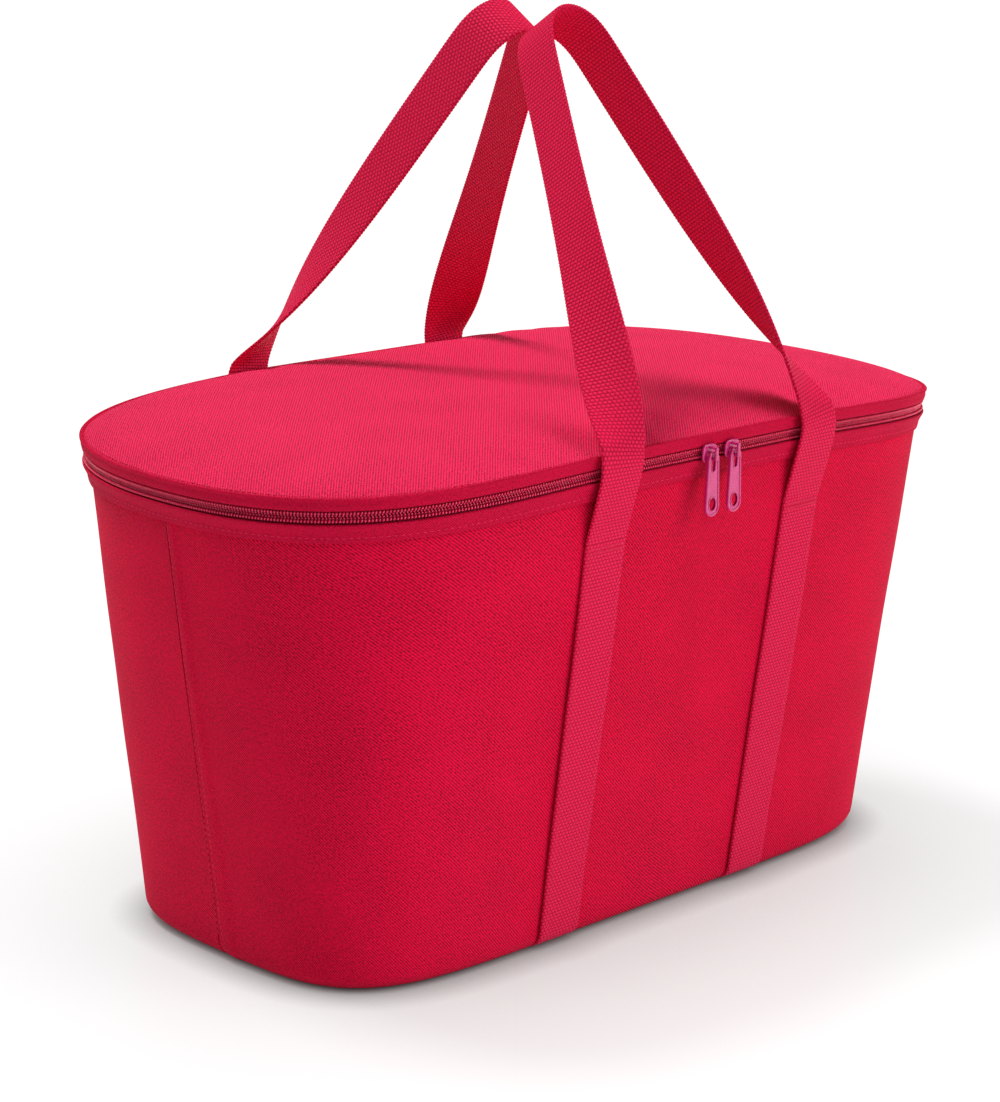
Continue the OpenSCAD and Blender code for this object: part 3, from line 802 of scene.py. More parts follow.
def make_coil(name, node, z, up, body):
    """One half of the coil: loops that show on the tape, and heads that mesh with the other half."""
    path, out = rim_path(1.35 * MM, z, ZIP_LAP)
    places, tangents, at = resample(path, COIL_PITCH)
    outwards = read_along(at, run_length(path), out)
    sides = np.tile([0.0, 0, 1], (len(places), 1))
    slant = unit(sides + 0.18 * tangents)
    axes = local_axes(slant, unit(outwards))
    loop_radii, head_radii = MM * np.array([0.42, 0.52, 0.42]), MM * np.array([0.35, 0.5, 0.35])
    loop_heights = MM * np.array([-0.35, 0, 0.1, 0, -0.35])
    loop, loop_faces = spindle(TEETH_HEIGHT * 1.05, loop_radii, loop_heights)
    head, head_faces = spindle(1.5 * MM, head_radii, np.zeros(5))
    head = head + [up * 1.2 * MM, 0.1 * MM, -0.75 * MM]
    shape = np.concatenate([loop, head])
    faces = loop_faces + [[c + len(loop) for c in face] for face in head_faces]
    coil = scatter(name, shape, faces, places, axes)
    dress(coil, ZIP_TEETH, node, body)


def make_zip():
    lower_z = LOWER_ROW_TOP - TEETH_HEIGHT / 2
    upper_z = UPPER_ROW_TOP - TEETH_HEIGHT / 2
    lower_line = above(BAND_TOP, (3.2, -3.5), (1.9, -0.6)) + above(lower_z, (1.75, 0))
    lower_line += above(LOWER_ROW_TOP, (1.8, 0.25))
    upper_line = above(upper_z - TEETH_HEIGHT / 2, (1.8, -0.25)) + above(upper_z, (1.75, 0))
    upper_line += above(UPPER_ROW_TOP, (1.7, 3))
    make_zip_tape("lower_tape", "lower_zip_tape", lower_line, "bag")
    make_zip_tape("upper_tape", "upper_zip_tape", upper_line, "lid")
    make_coil("lower_coil", "lower_zip_teeth", lower_z, 1, "bag")
    make_coil("upper_coil", "upper_zip_teeth", upper_z, -1, "lid")


def make_hinge():
    """Cloth hinge along the back, which runs from the tub up onto the lid."""
    high = UPPER_ROW_TOP + 1.5 * MM
    heights = np.linspace(BAND_TOP + 0.6 * MM, high - 0.8 * MM, 12)
    insets = (1.15 + 0.25 * np.cos(np.linspace(0, 6.28, 12))) * MM
    line = above(BAND_TOP, (1.7, -1.5), (1.5, 0)) + list(zip(insets, heights)) + above(high, (1.3, 0))
    hinge = rim_sweep("lid_hinge_cloth", thick_line(line, TAPE_THICK), HINGE_LAP, False)
    finish(hinge, BINDING)
    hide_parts("lid_hinge_tape")
    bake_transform(hinge)


make_lower_band()
make_lid_band()
make_zip()
make_hinge()

# ---- Lid ----

LID_CROWN = 6.0 * MM
CROWN_POWER = 3.2
SHOULDER = 3.6 * MM
SHOULDER_POWER = 14
LID_STEPS = (96, 56)
LID_EDGE_INSET = 0.55 * MM
LID_TOP_SEAM = LID_SEAM + 0.4 * MM
# Share of the way out beyond which the simulated cloth is sewn down, and how far it may move
SEWN_SHARE = 0.985
CLOTH_CAP = 1.2 * MM
CLOTH_FRAMES = 20


def lid_height(x, share):
    """Height of the lid's top, by the share of the way out from its middle to its edge."""
    rise = LID_CROWN * (1 - share**CROWN_POWER) + SHOULDER * (1 - share**SHOULDER_POWER)
    return LID_TOP_SEAM - sag(x) * share**2 + rise


def square_turns():
    """For every point of a grid over the lid: its turn, and its share of the way out."""
    columns, rows = LID_STEPS
    s, t = np.meshgrid(np.linspace(-1, 1, columns + 1), np.linspace(-1, 1, rows + 1), indexing="ij")
    share = np.maximum(np.abs(s), np.abs(t))
    reach = np.where(share > 0, share, 1)
    s, t = s / reach, t / reach
    perimeter = 2.0 * (columns + rows)
    half_columns, half_rows = columns / 2, rows / 2
    right, left, top = s >= 1 - 1e-9, s <= -1 + 1e-9, t >= 1 - 1e-9
    walked = np.select(
        [right & (t >= 0), top, left, right],
        [
            t * half_rows,
            half_rows + (1 - s) * half_columns,
            half_rows + columns + (1 - t) * half_rows,
            perimeter + t * half_rows,
        ],
        half_rows + columns + rows + (s + 1) * half_columns,
    )
    laps = even_turns(0, 2 * math.pi, 1601, RIM_HALF - LID_EDGE_INSET)
    turns = np.interp(walked / perimeter, np.linspace(0, 1, 1601), laps)
    return turns, share


def relax_cloth(sheet, pinned):
    """Lets the sheet swell as padded cloth with its edge sewn down, and caps how far it moves."""
    scene = bpy.context.scene
    start = np.array([v.co for v in sheet.data.vertices])
    group = sheet.vertex_groups.new(name="sewn")
    group.add(pinned, 1.0, "REPLACE")
    cloth = sheet.modifiers.new("cloth", "CLOTH")
    settings = cloth.settings
    settings.quality = 6
    settings.mass = 0.25
    settings.tension_stiffness = 25
    settings.compression_stiffness = 25
    settings.shear_stiffness = 12
    settings.bending_stiffness = 4
    settings.vertex_group_mass = "sewn"
    settings.shrink_min = -0.006
    settings.use_pressure = True
    settings.uniform_pressure_force = 4.0
    settings.effector_weights.gravity = 0
    cloth.point_cache.frame_start = 1
    cloth.point_cache.frame_end = CLOTH_FRAMES
    for number in range(1, CLOTH_FRAMES + 1):
        scene.frame_set(number)
    moved = sheet.evaluated_get(bpy.context.evaluated_depsgraph_get())
    end = np.array([v.co for v in moved.data.vertices])
    sheet.modifiers.remove(cloth)
    sheet.vertex_groups.clear()
    scene.frame_set(1)
    shift = end - start
    length = np.linalg.norm(shift, axis=1, keepdims=True)
    capped = shift * np.minimum(1, CLOTH_CAP / np.maximum(length, 1e-9))
    sheet.data.vertices.foreach_set("co", (start + capped).ravel())
    sheet.data.update()


def make_lid_top():
    """Padded top panel: its cloth is relaxed over the foam, then made finer and thickened."""
    turns, share = square_turns()
    plan = outline(RIM_HALF - LID_EDGE_INSET, RIM_SQUARE, turns) * share[..., None]
    height = lid_height(plan[..., :1], share[..., None])
    points = np.concatenate([plan, height], axis=-1)
    rows, columns = share.shape
    faces, _, _ = grid_faces(rows, columns, False, False)
    flat = points.reshape(-1, 3)
    uv = flat[faces.ravel()][:, :2] * [1, -1]
    lid = new_object("lid_top", flat, faces.tolist(), uv)
    pinned = [int(k) for k in np.nonzero(share.ravel() > SEWN_SHARE)[0]]
    relax_cloth(lid, pinned)
    finer = lid.modifiers.new("finer", "SUBSURF")
    finer.levels = finer.render_levels = 1
    body = lid.modifiers.new("cloth_thickness", "SOLIDIFY")
    body.thickness = FABRIC
    body.offset = -1
    apply_modifiers(lid)
    # The lid's cloth carries painted light and painted sheen in its colours
    finish(lid, LID_CLOTH_PAINTED_LIGHT)
    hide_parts("lid_top_panel")
    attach(lid, "lid")


def apply_modifiers(piece):
    """Keeps the shape that the modifiers give, and removes them."""
    graph = bpy.context.evaluated_depsgraph_get()
    final = bpy.data.meshes.new_from_object(piece.evaluated_get(graph))
    piece.modifiers.clear()
    piece.data = final
    final.shade_smooth()


def make_lid_seam():
    """Topstitching round the lid, just inside its top seam."""
    inset = 2.4 * MM
    plan = outline(RIM_HALF - inset, RIM_SQUARE, CLOSED_LAP)
    share = 1 - (inset - LID_EDGE_INSET) / RIM_HALF[1]
    z = lid_height(plan[:, 0], share)
    path = np.column_stack([plan, z])
    outwards = unit(np.column_stack([plan / RIM_HALF**2, np.full(len(plan), 5.0)]))
    stitches("lid_edge_topstitch", path, outwards, "lid")


make_lid_top()
make_lid_seam()

# ---- Lining and bindings ----


def crumple(x, y):
    """Soft creases of the foil, as a distance from its plain shape."""
    broad = np.sin(55 * x + 31 * y) * np.sin(47 * y - 12 * x)
    return 0.35 * MM * (broad + 0.5 * np.sin(130 * x + 90 * y))


def wall_lining(name, first, node):
    """Half of the tub's foil, with its creases on the inside."""
    turns = even_turns(first, first + math.pi, 180, WALL_HALF)
    heights = np.linspace(FLOOR_TOP - 0.4 * MM, WALL_TOP - 0.3 * MM, 40)
    inset = LINING_INSET + 0.3 * MM
    profile = [(inset, z) for z in heights] + [(inset + 0.45 * MM, z) for z in heights[::-4]]
    loops = np.stack([wall_point(i, z, turns) for i, z in profile], axis=1)
    lift = np.abs(crumple(loops[..., 0], loops[..., 2]))
    lining = loft(name, loops - level_outwards(loops) * lift[..., None])
    dress(lining, LINING, node, "bag")


def make_linings():
    wall_lining("front_lining", math.pi, "front_lining_panel")
    wall_lining("back_lining", 0.0, "back_lining_panel")
    half = high_corner("base_lining_panel")[:2]
    z = low_corner("base_lining_panel")[2]
    floor_lining = flat_panel("floor_lining", half, BASE_SQUARE, z, LINING_THICK, dome=0.3 * MM)
    dress(floor_lining, LINING, "base_lining_panel", "bag")


def make_rim_binding():
    """Rolled tape over the top edge of the tub's wall, with a row of stitches."""
    outside, inside = 4.1 * MM, 4.2 * MM + LINING_INSET + 0.7 * MM
    z = WALL_TOP + 0.2 * MM
    line = [(outside, z), (outside + 0.3 * MM, z + 0.6 * MM), (outside + 1.2 * MM, z + 0.9 * MM)]
    line += [(inside - 1.2 * MM, z + 0.9 * MM), (inside - 0.1 * MM, z + 0.5 * MM)]
    line.append((inside + 0.2 * MM, z - 1.2 * MM))
    binding = rim_sweep("rim_binding", thick_line(line, TAPE_THICK), LAP, True)
    dress(binding, BINDING, "rim_binding_tape", "bag")
    path, _ = rim_path(inside - 2.2 * MM, z + 0.95 * MM, CLOSED_LAP)
    stitches("rim_binding_stitches", path, np.tile([0.0, 0, 1], (len(path), 1)), "bag")


def make_lid_lining():
    """Foil under the lid, which follows its crown."""
    crown = 8.5 * MM
    turns = even_turns(0, 2 * math.pi, 301)[:-1]
    inset = 6.5 * MM
    shares = np.concatenate([np.linspace(1, 0.1, 24), [0.02]])
    seam = low_corner("lid_lining")[2] + END_SAG - 0.4 * MM
    rings = []
    for thickness in (0.0, LINING_THICK):
        for share in shares if thickness else shares[::-1]:
            plan = outline(RIM_HALF - inset, RIM_SQUARE, turns) * share
            rise = crown * (1 - share**CROWN_POWER)
            wave = np.abs(crumple(plan[:, 0], plan[:, 1])) * (1 - share**8) * 1.6
            z = seam - sag(plan[:, 0]) * share**2 + rise - wave - thickness
            rings.append(np.column_stack([plan, z]))
    foil = ring_solid("lid_lining_foil", np.array(rings))
    dress(foil, LINING, "lid_lining", "lid")


def make_lid_binding():
    """Tape inside the lid's band, which runs under the edge of the foil."""
    low = ZIP_Z + 3.5 * MM
    line = above(low, (8.6, -5.5), (6.2, -5.3), (4.6, -3.2), (3.2, -1.2), (2.5, 0), (2.5, 3))
    binding = rim_sweep("lid_inner_binding", thick_line(line, TAPE_THICK), LAP, True)
    dress(binding, BINDING, "lid_edge_binding", "lid")


make_linings()
make_rim_binding()
make_lid_lining()
make_lid_binding()

# ---- Webbing ----

KNEE = (-(RIM_HALF[1] + 4 * MM), LID_SEAM - 4.5 * MM)
LEAN_START = (KNEE[0], LID_SEAM + 1.5 * MM)
APEX = (-11.8 * MM, 415 * MM)
APEX_ROUND = 18.4 * MM
TWIST_START = 45 * MM
TWIST_POWER = 3.4
WEB_STEP = WEB_PICK / 2
STRAP_CLEARANCE = 0.35 * MM
TUCK = 3.6 * MM
TACK_TOP = 197 * MM
TACK_ROW = 2.2 * MM
KNEE_ROUND = 13 * MM
LOOP_TOP_RUN = 24 * MM
TAIL_RUN = 9 * MM
# Outward direction of the sloping front wall, not yet of length 1
WALL_OUTWARDS = (0, -1, -0.128)


def front_wall_y(x, z):
    """Outer face of the front wall at a place, with its unevenness."""
    share = wall_share(z)
    low = BASE_HALF[1] * (1 - np.abs(x / BASE_HALF[0]) ** BASE_SQUARE[0]) ** (1 / BASE_SQUARE[1])
    high = WALL_HALF[1] * (1 - np.abs(x / WALL_HALF[0]) ** RIM_SQUARE[0]) ** (1 / RIM_SQUARE[1])
    return -((1 - share) * low + share * high + ripple(x, z) * np.clip(z / CALM_FOOT, 0, 1))


def sewn_stations():
    """Middle of the right front strap, its outward face and its width direction, up the wall."""
    offset = WEB_THICK / 2 + STRAP_CLEARANCE
    stations = []
    for angle in np.radians(np.linspace(84, 6, 16)):
        radius = BASE_ROUND + offset - TUCK * (angle / (math.pi / 2)) ** 1.4
        y = -(BASE_HALF[1] - BASE_ROUND + radius * math.cos(angle))
        middle = (STRAP_BASE_X, y, BASE_ROUND - radius * math.sin(angle))
        stations.append((middle, (0, -math.cos(angle), -math.sin(angle))))
    for z in np.linspace(BASE_ROUND, TACK_TOP, 64):
        x = STRAP_BASE_X + (STRAP_X - STRAP_BASE_X) * wall_share(z)
        stations.append(((x, float(front_wall_y(x, z)) - offset, z), WALL_OUTWARDS))
    middles = np.array([s[0] for s in stations])
    normals = unit(np.array([s[1] for s in stations]))
    return middles, normals, np.tile([1.0, 0, 0], (len(stations), 1))


def handle_leg():
    """Middle of the free webbing from the cross-stitching to the top of the loop, right front leg."""
    lean = np.array(APEX) - np.array(LEAN_START)
    length = np.linalg.norm(lean)
    along = lean / length
    tip = np.array([0, length - APEX_ROUND])
    foot = np.array([STRAP_X, 0])
    to_tip = tip - foot
    tangent_length = math.sqrt(to_tip @ to_tip - APEX_ROUND**2)
    angle = math.atan2(to_tip[1], to_tip[0]) - math.asin(APEX_ROUND / np.linalg.norm(to_tip))

    def place(u, v):
        return [u, LEAN_START[0] + along[0] * v, LEAN_START[1] + along[1] * v]

    tack_y = float(front_wall_y(STRAP_X, TACK_TOP)) - WEB_THICK / 2 - STRAP_CLEARANCE
    corners = [(tack_y, TACK_TOP), KNEE, LEAN_START]
    middles = []
    for first, second in zip(corners[:-1], corners[1:]):
        for share in np.linspace(0, 1, 24, endpoint=False):
            y, z = (first[k] + share * (second[k] - first[k]) for k in (0, 1))
            middles.append([STRAP_X, y, z])
    straight = tangent_length * np.array([math.cos(angle), math.sin(angle)])
    for share in np.linspace(0, 1, 120):
        middles.append(place(*(foot + share * straight)))
    for turn in np.linspace(angle - math.pi / 2, math.pi / 2, 24)[1:]:
        middles.append(place(*(tip + APEX_ROUND * np.array([math.cos(turn), math.sin(turn)]))))
    return np.array(middles)


def smooth_line(values, run, width):
    """Gaussian average along a line, which leaves its two ends in place."""
    result = values.copy()
    for k, at in enumerate(run):
        reach = min(width, at - run[0] + 1e-6, run[-1] - at + 1e-6)
        weight = np.exp(-(((run - at) / reach) ** 2) * 2)
        result[k] = (values * weight[:, None]).sum(axis=0) / weight.sum()
    return result


def handle_line():
    """Stations of the whole front loop, from the right cross-stitching to the left one."""
    middles = handle_leg()
    middles = np.concatenate([middles, (middles * [-1, 1, 1])[-2::-1]])
    run = run_length(middles)
    even = np.arange(0, run[-1], WEB_STEP)
    middles = smooth_line(read_along(even, run, middles), even, KNEE_ROUND)
    tangents = unit(np.gradient(middles, axis=0))
    climb = np.minimum(even, even[-1] - even)
    share = np.clip((climb - TWIST_START) / (even[-1] / 2 - LOOP_TOP_RUN - TWIST_START), 0, 1)
    twist = math.pi / 2 * (1 - (1 - share) ** TWIST_POWER)[:, None]
    loop_plane = unit(np.array([0, APEX[0] - LEAN_START[0], APEX[1] - LEAN_START[1]]))
    outwards = np.cross([1.0, 0, 0], loop_plane)
    outwards = outwards * -np.sign(outwards[1])
    face = unit(outwards - tangents * (tangents @ outwards)[:, None])
    lateral = np.cross(tangents, face)
    radial = middles - middles.mean(axis=0) * [1, 0, 0] - np.array([0, LEAN_START[0], LEAN_START[1]])
    lateral = lateral * np.sign((lateral * radial).sum(axis=1))[:, None]
    normals = np.cos(twist) * face + np.sin(twist) * lateral
    widths = unit(np.cross(normals, tangents))
    return middles, unit(np.cross(tangents, widths)), widths, even


def web_section():
    """Cross-section of webbing: flat faces with soft rounded edges."""
    half, thick = WEB_WIDTH / 2, WEB_THICK / 2
    turns = np.linspace(-1.2, 1.2, 5)
    round_half = [(half - thick * 0.8 + thick * math.cos(a), thick * math.sin(a)) for a in turns]
    across = np.linspace(half - thick * 1.6, -half + thick * 1.6, 9)
    top = [(a, thick) for a in across]
    left = [(-a, b) for a, b in round_half[::-1]]
    bottom = [(a, -thick) for a in across[::-1]]
    return np.array(round_half + top + left + bottom)


def web_solid(name, middles, normals, widths, start, follow_wall=False):
    """Webbing through stations, with the picks of its weave showing along both edges."""
    section = web_section()
    picks = PICK_RISE * np.where(np.arange(len(middles)) % 2 == 0, 1, -1)
    edge = np.sign(section[:, 0]) * (np.abs(section[:, 0]) > WEB_WIDTH / 2 - WEB_THICK)
    a = section[None, :, 0] + picks[:, None] * edge[None, :]
    b = section[None, :, 1] * (1 + 0.08 * (picks[:, None] > 0))
    loops = middles[:, None, :] + a[..., None] * widths[:, None, :] + b[..., None] * normals[:, None, :]
    if follow_wall:
        x, z = loops[..., 0], loops[..., 2]
        middle = middles[:, None, :]
        loops[..., 1] += front_wall_y(x, z) - front_wall_y(middle[..., 0], z)
    web = loft(name, loops, start=start)
    return finish(web, WEBBING)


def even_stations(middles, normals, widths):
    """The same stations at even steps along the webbing."""
    run = run_length(middles)
    even = np.linspace(0, run[-1], round(run[-1] / WEB_STEP))
    middles, normals, widths = (read_along(even, run, part) for part in (middles, normals, widths))
    return middles, unit(normals), unit(widths)


def to_back(piece, front):
    """Turns a front piece into the matching back one."""
    if not front:
        piece.data.transform(Matrix.Scale(-1, 4, Vector((0, 1, 0))))
        piece.data.flip_normals()


def flip_of(front):
    """Factors that move points to the front or to the back of the bag."""
    return np.array([1, 1 if front else -1, 1])


def make_sewn_strap(side, front):
    """Webbing sewn up the wall, with a row of stitches along each of its edges."""
    strap_name = f"{'front' if front else 'back'}_{side_word(side)}_strap"
    middles, normals, widths = (part * [side, 1, 1] for part in even_stations(*sewn_stations()))
    start = -run_length(middles)[-1]
    strap = web_solid(f"{strap_name}_webbing", middles, normals, widths, start, follow_wall=True)
    to_back(strap, front)
    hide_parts(strap_name)
    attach(strap, "bag")
    flip = flip_of(front)
    # The stitches start where the strap has left the base edge
    seen = slice(8, None)
    for number, offset in enumerate((-1, 1)):
        edge = middles + widths * offset * (WEB_WIDTH / 2 - EDGE_ROW_INSET) + normals * WEB_THICK / 2
        edge[:, 1] += front_wall_y(edge[:, 0], edge[:, 2]) - front_wall_y(middles[:, 0], edge[:, 2])
        row_name = f"{strap_name}_stitches_{number + 1}"
        stitches(row_name, edge[seen] * flip, normals[seen] * flip, "bag")


def make_tack(front):
    """Dense zigzag rows that hold the two straps of one handle at the cross-stitching."""
    places, tangents, outs = [], [], []
    for side in (-1, 1):
        for row, z in enumerate((TACK_TOP - TACK_ROW, TACK_TOP - 2 * TACK_ROW)):
            x = side * STRAP_X
            for k, share in enumerate(np.linspace(-1, 1, 44)):
                at = x + share * (WEB_WIDTH / 2 - TACK_INSET)
                y = float(front_wall_y(at, z)) - WEB_THICK - STRAP_CLEARANCE - 0.12 * MM
                places.append([at, y, z])
                lean = 0.42 if (k + row) % 2 else -0.42
                tangents.append([lean, 0, 1])
                outs.append(WALL_OUTWARDS)
    flip = flip_of(front)
    radii, heights = THREAD * np.array([0.8, 1, 0.8]), THREAD * np.array([-1.4, 0, 0.4, 0, -1.4])
    shape, faces = spindle(2.1 * MM, radii, heights)
    axes = local_axes(unit(np.array(tangents) * flip), unit(np.array(outs) * flip))
    name = "front_tack_stitches" if front else "back_tack_stitches"
    tack = scatter(name, shape, faces, np.array(places) * flip, axes)
    finish(tack, THREAD_MATERIAL)
    if front:
        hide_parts("strap_bar_tacks")
    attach(tack, "bag")


def make_handle(front):
    """The free loop: two tails that bend at the cross-stitching, and the handle they carry."""
    word = "front" if front else "back"
    middles, normals, widths, run = handle_line()
    total = run[-1]

    def stretch(name, keep):
        web = web_solid(name, middles[keep], normals[keep], widths[keep], run[keep][0])
        to_back(web, front)
        return web

    tails, handle = f"{word}_strap_tails", f"{word}_handle"
    tail_end = TAIL_RUN + WEB_STEP
    for side, keep in (("right", run <= tail_end), ("left", run >= total - tail_end)):
        tail = stretch(f"{word}_{side}_tail_webbing", keep)
        if side == "right":
            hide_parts(tails)
        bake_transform(tail)
    loop = stretch(f"{word}_handle_webbing", (run >= TAIL_RUN) & (run <= total - TAIL_RUN))
    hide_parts(handle)
    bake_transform(loop)


for is_front in (True, False):
    for strap_side in (-1, 1):
        make_sewn_strap(strap_side, is_front)
    make_tack(is_front)
    make_handle(is_front)

# ---- Sliders and pulls ----

RIM_FRONT_Y = -RIM_HALF[1]
PLATE_FRONT_Y = low_corner("left_slider_body")[1] + 4.3 * MM
PULL_Y = JOINTS["left_pull_swing"]["pos_m"][1]
SLIDER_X = 7.5 * MM
# Lower half of a slider's outline: millimetres towards the bag's middle, and above the zip
SHIELD = ((-4.8, -2.6), (-3.6, -4.0), (0.5, -4.3), (3.3, -3.8), (4.8, -2.0), (4.6, 0))


def plate(name, outlines, thickness, bevel, y):
    """Flat plate in X-Z from an outline and its holes, with rounded edges, its middle at a depth y."""
    curve = bpy.data.curves.new(name, "CURVE")
    curve.dimensions = "2D"
    curve.fill_mode = "BOTH"
    curve.extrude = thickness / 2 - bevel
    curve.bevel_depth = bevel
    curve.bevel_resolution = 2
    curve.offset = -bevel
    for line in outlines:
        spline = curve.splines.new("POLY")
        spline.points.add(len(line) - 1)
        for point, (x, z) in zip(spline.points, line):
            point.co = (x, z, 0, 1)
        spline.use_cyclic_u = True
    holder = link(name + "_curve", curve)
    graph = bpy.context.evaluated_depsgraph_get()
    mesh = bpy.data.meshes.new_from_object(holder.evaluated_get(graph))
    bpy.data.objects.remove(holder)
    mesh.transform(Matrix.Translation((0, y, 0)) @ Matrix.Rotation(math.pi / 2, 4, "X"))
    return mesh


def join_meshes(name, meshes):
    """One object from several meshes, whose own edges of more than 40 degrees stay sharp."""
    work = bmesh.new()
    for mesh in meshes:
        work.from_mesh(mesh)
    joined = bpy.data.meshes.new(name)
    bmesh.ops.remove_doubles(work, verts=work.verts, dist=2e-6)
    bmesh.ops.recalc_face_normals(work, faces=work.faces)
    work.to_mesh(joined)
    work.free()
    for mesh in meshes:
        bpy.data.meshes.remove(mesh)
    joined.shade_smooth()
    joined.set_sharp_from_angle(angle=math.radians(40))
    return link(name, joined)


def arc(centre, radius, first, last, steps):
    """Points of an arc, with angles in degrees."""
    turns = np.radians(np.linspace(first, last, steps))
    return [(centre[0] + radius * math.cos(a), centre[1] + radius * math.sin(a)) for a in turns]


def tag_outline(x, inset):
    """Outline of a pull, or of a smaller shape inside it."""
    top, bottom = 3.5 * MM - inset, 4.5 * MM - inset
    return arc((x, ZIP_Z - 24.5 * MM), bottom, 180, 360, 22) + arc((x, ZIP_Z - 2.6 * MM), top, 0, 180, 22)


def eye_outline(x, top, bottom):
    """Outline of the long eye of a pull, from its two radii."""
    return arc((x, ZIP_Z - 1.9 * MM), top, 0, 180, 14) + arc((x, ZIP_Z - 7.2 * MM), bottom, 180, 360, 10)


def finger_outline(x, half_width, half_height):
    """Outline of the oval hole of a pull."""
    z = ZIP_Z - 23.3 * MM
    turns = np.linspace(0, 2 * math.pi, 28, endpoint=False)
    return [(x + half_width * math.cos(a), z + half_height * math.sin(a)) for a in turns]


def make_pull(side):
    """Tapered tag with a raised rim, a teardrop eye at its top and an oval finger hole below."""
    x = side * SLIDER_X
    eye, eye_rim = eye_outline(x, 1.55 * MM, 1.0 * MM), eye_outline(x, 2.1 * MM, 1.55 * MM)
    finger = finger_outline(x, 2.1 * MM, 3.0 * MM)
    finger_rim = finger_outline(x, 2.75 * MM, 3.65 * MM)
    meshes = [
        plate("rim", [tag_outline(x, 0), tag_outline(x, 0.95 * MM)], 1.7 * MM, 0.35 * MM, PULL_Y),
        plate("web", [tag_outline(x, 0.5 * MM), eye, finger], 0.95 * MM, 0.12 * MM, PULL_Y),
        plate("eye_rim", [eye_rim, eye], 1.4 * MM, 0.2 * MM, PULL_Y),
        plate("finger_rim", [finger_rim, finger], 1.45 * MM, 0.22 * MM, PULL_Y),
    ]
    word = side_word(side)
    pull = join_meshes(f"{word}_pull_tag", meshes)
    dress(pull, HARDWARE, f"{word}_zip_pull", f"{word}_pull")


def rounded_box(centre, size, bevel):
    """Box with rounded edges."""
    work = bmesh.new()
    bmesh.ops.create_cube(work, size=1.0)
    for vertex in work.verts:
        vertex.co = Vector(centre) + Vector(a * b for a, b in zip(vertex.co, size))
    bmesh.ops.bevel(work, geom=work.edges[:], offset=bevel, segments=3, profile=0.5, affect="EDGES")
    mesh = bpy.data.meshes.new("box")
    work.to_mesh(mesh)
    work.free()
    return mesh


def make_slider(side):
    """Slider: a shield-shaped front plate, a smaller back plate, a post and the pull's bridge."""
    x = side * SLIDER_X
    lower = [(x - side * along * MM, ZIP_Z + height * MM) for along, height in SHIELD]
    shield = lower + [(a, 2 * ZIP_Z - z) for a, z in lower[-2::-1]]
    smaller = [(a, ZIP_Z + (z - ZIP_Z) * 0.65) for a, z in shield]
    front_y = PLATE_FRONT_Y + 0.6 * MM
    back_y = RIM_FRONT_Y + 4.1 * MM
    bridge_y = PLATE_FRONT_Y - 2.1 * MM
    post = (x - side * 1.6 * MM, (front_y + back_y) / 2, ZIP_Z)
    meshes = [
        plate("front", [shield], 1.2 * MM, 0.4 * MM, front_y),
        plate("back", [smaller], 1.1 * MM, 0.3 * MM, back_y),
        rounded_box(post, (3.0 * MM, back_y - front_y, 1.0 * MM), 0.2 * MM),
        rounded_box((x, bridge_y - 1.5 * MM, ZIP_Z), (1.8 * MM, 1.2 * MM, 6.4 * MM), 0.45 * MM),
    ]
    for foot_z in (ZIP_Z + 2.6 * MM, ZIP_Z - 2.6 * MM):
        foot = (x, bridge_y + 0.3 * MM, foot_z)
        meshes.append(rounded_box(foot, (1.8 * MM, 4.6 * MM, 1.2 * MM), 0.4 * MM))
    word = side_word(side)
    slider = join_meshes(f"{word}_slider_shell", meshes)
    dress(slider, HARDWARE, f"{word}_slider_body", f"{word}_slider")


for slider_side in (-1, 1):
    make_slider(slider_side)
    make_pull(slider_side)

# ---- Carried-over CAD nodes ----

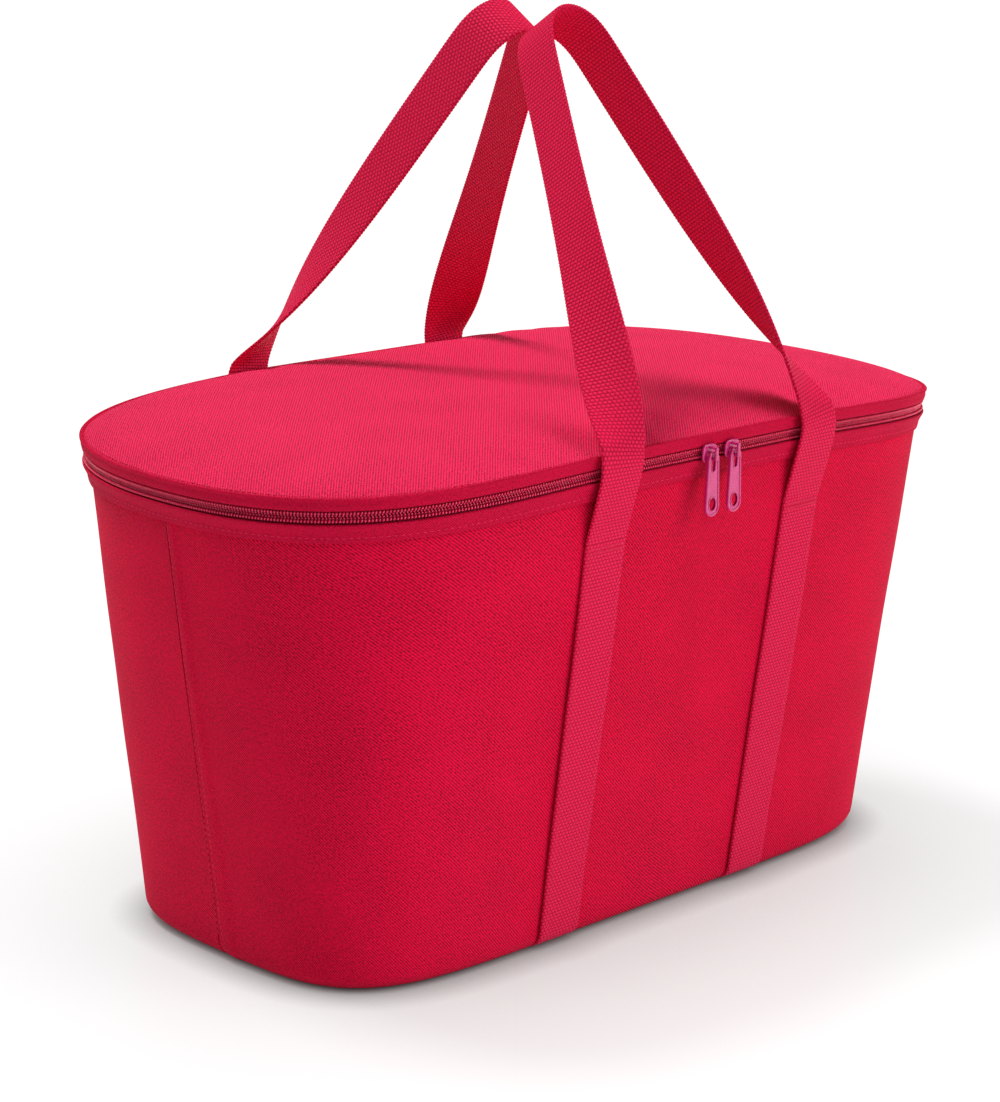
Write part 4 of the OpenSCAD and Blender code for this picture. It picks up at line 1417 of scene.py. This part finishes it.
for node, kept_material in (
    ("front_wall_foam", FOAM),
    ("back_wall_foam", FOAM),
    ("base_foam", FOAM),
    ("lid_foam", FOAM),
    ("base_stiffener_board", BOARD),
    ("zip_end_stops", HARDWARE),
):
    kept = frame["nodes"][node]
    kept.data.materials.clear()
    kept.data.materials.append(kept_material)

# ---- Floor and light ----


def make_floor():
    """Wide plane just under the bag."""
    bpy.ops.mesh.primitive_plane_add(size=60, location=(0, 0, -0.0002))
    floor = bpy.context.object
    floor.name = "floor"
    floor.data.materials.append(floor_paint("studio_floor"))


def sun(name, azimuth, elevation, strength, softness):
    """Distant soft light that shines from an azimuth and elevation, in degrees."""
    data = bpy.data.lights.new(name, "SUN")
    data.energy = strength
    data.angle = math.radians(softness)
    light = link(name, data)
    light.rotation_mode = "QUATERNION"
    towards = direction(math.radians(azimuth), math.radians(elevation))
    light.rotation_quaternion = towards.to_track_quat("Z", "Y")


def make_world():
    """Even pale surroundings: dimmer as a light than as a backdrop."""
    backdrop_strength, glow_strength = 1.0, 0.22
    world = bpy.data.worlds.new("studio")
    bpy.context.scene.world = world
    world.use_nodes = True
    tree = world.node_tree
    backdrop = tree.nodes["Background"]
    backdrop.inputs["Color"].default_value = (1, 1, 1, 1)
    backdrop.inputs["Strength"].default_value = backdrop_strength
    glow = tree.nodes.new("ShaderNodeBackground")
    glow.inputs["Color"].default_value = (1, 0.99, 0.985, 1)
    glow.inputs["Strength"].default_value = glow_strength
    rays = tree.nodes.new("ShaderNodeLightPath")
    mix = tree.nodes.new("ShaderNodeMixShader")
    tree.links.new(rays.outputs["Is Camera Ray"], mix.inputs["Fac"])
    tree.links.new(glow.outputs[0], mix.inputs[1])
    tree.links.new(backdrop.outputs[0], mix.inputs[2])
    tree.links.new(mix.outputs[0], tree.nodes["World Output"].inputs["Surface"])


make_floor()
make_world()
sun("key", azimuth=-165, elevation=65, strength=2.85, softness=14)
sun("fill", azimuth=30, elevation=25, strength=1.6, softness=40)
bpy.context.scene.view_settings.view_transform = "Standard"
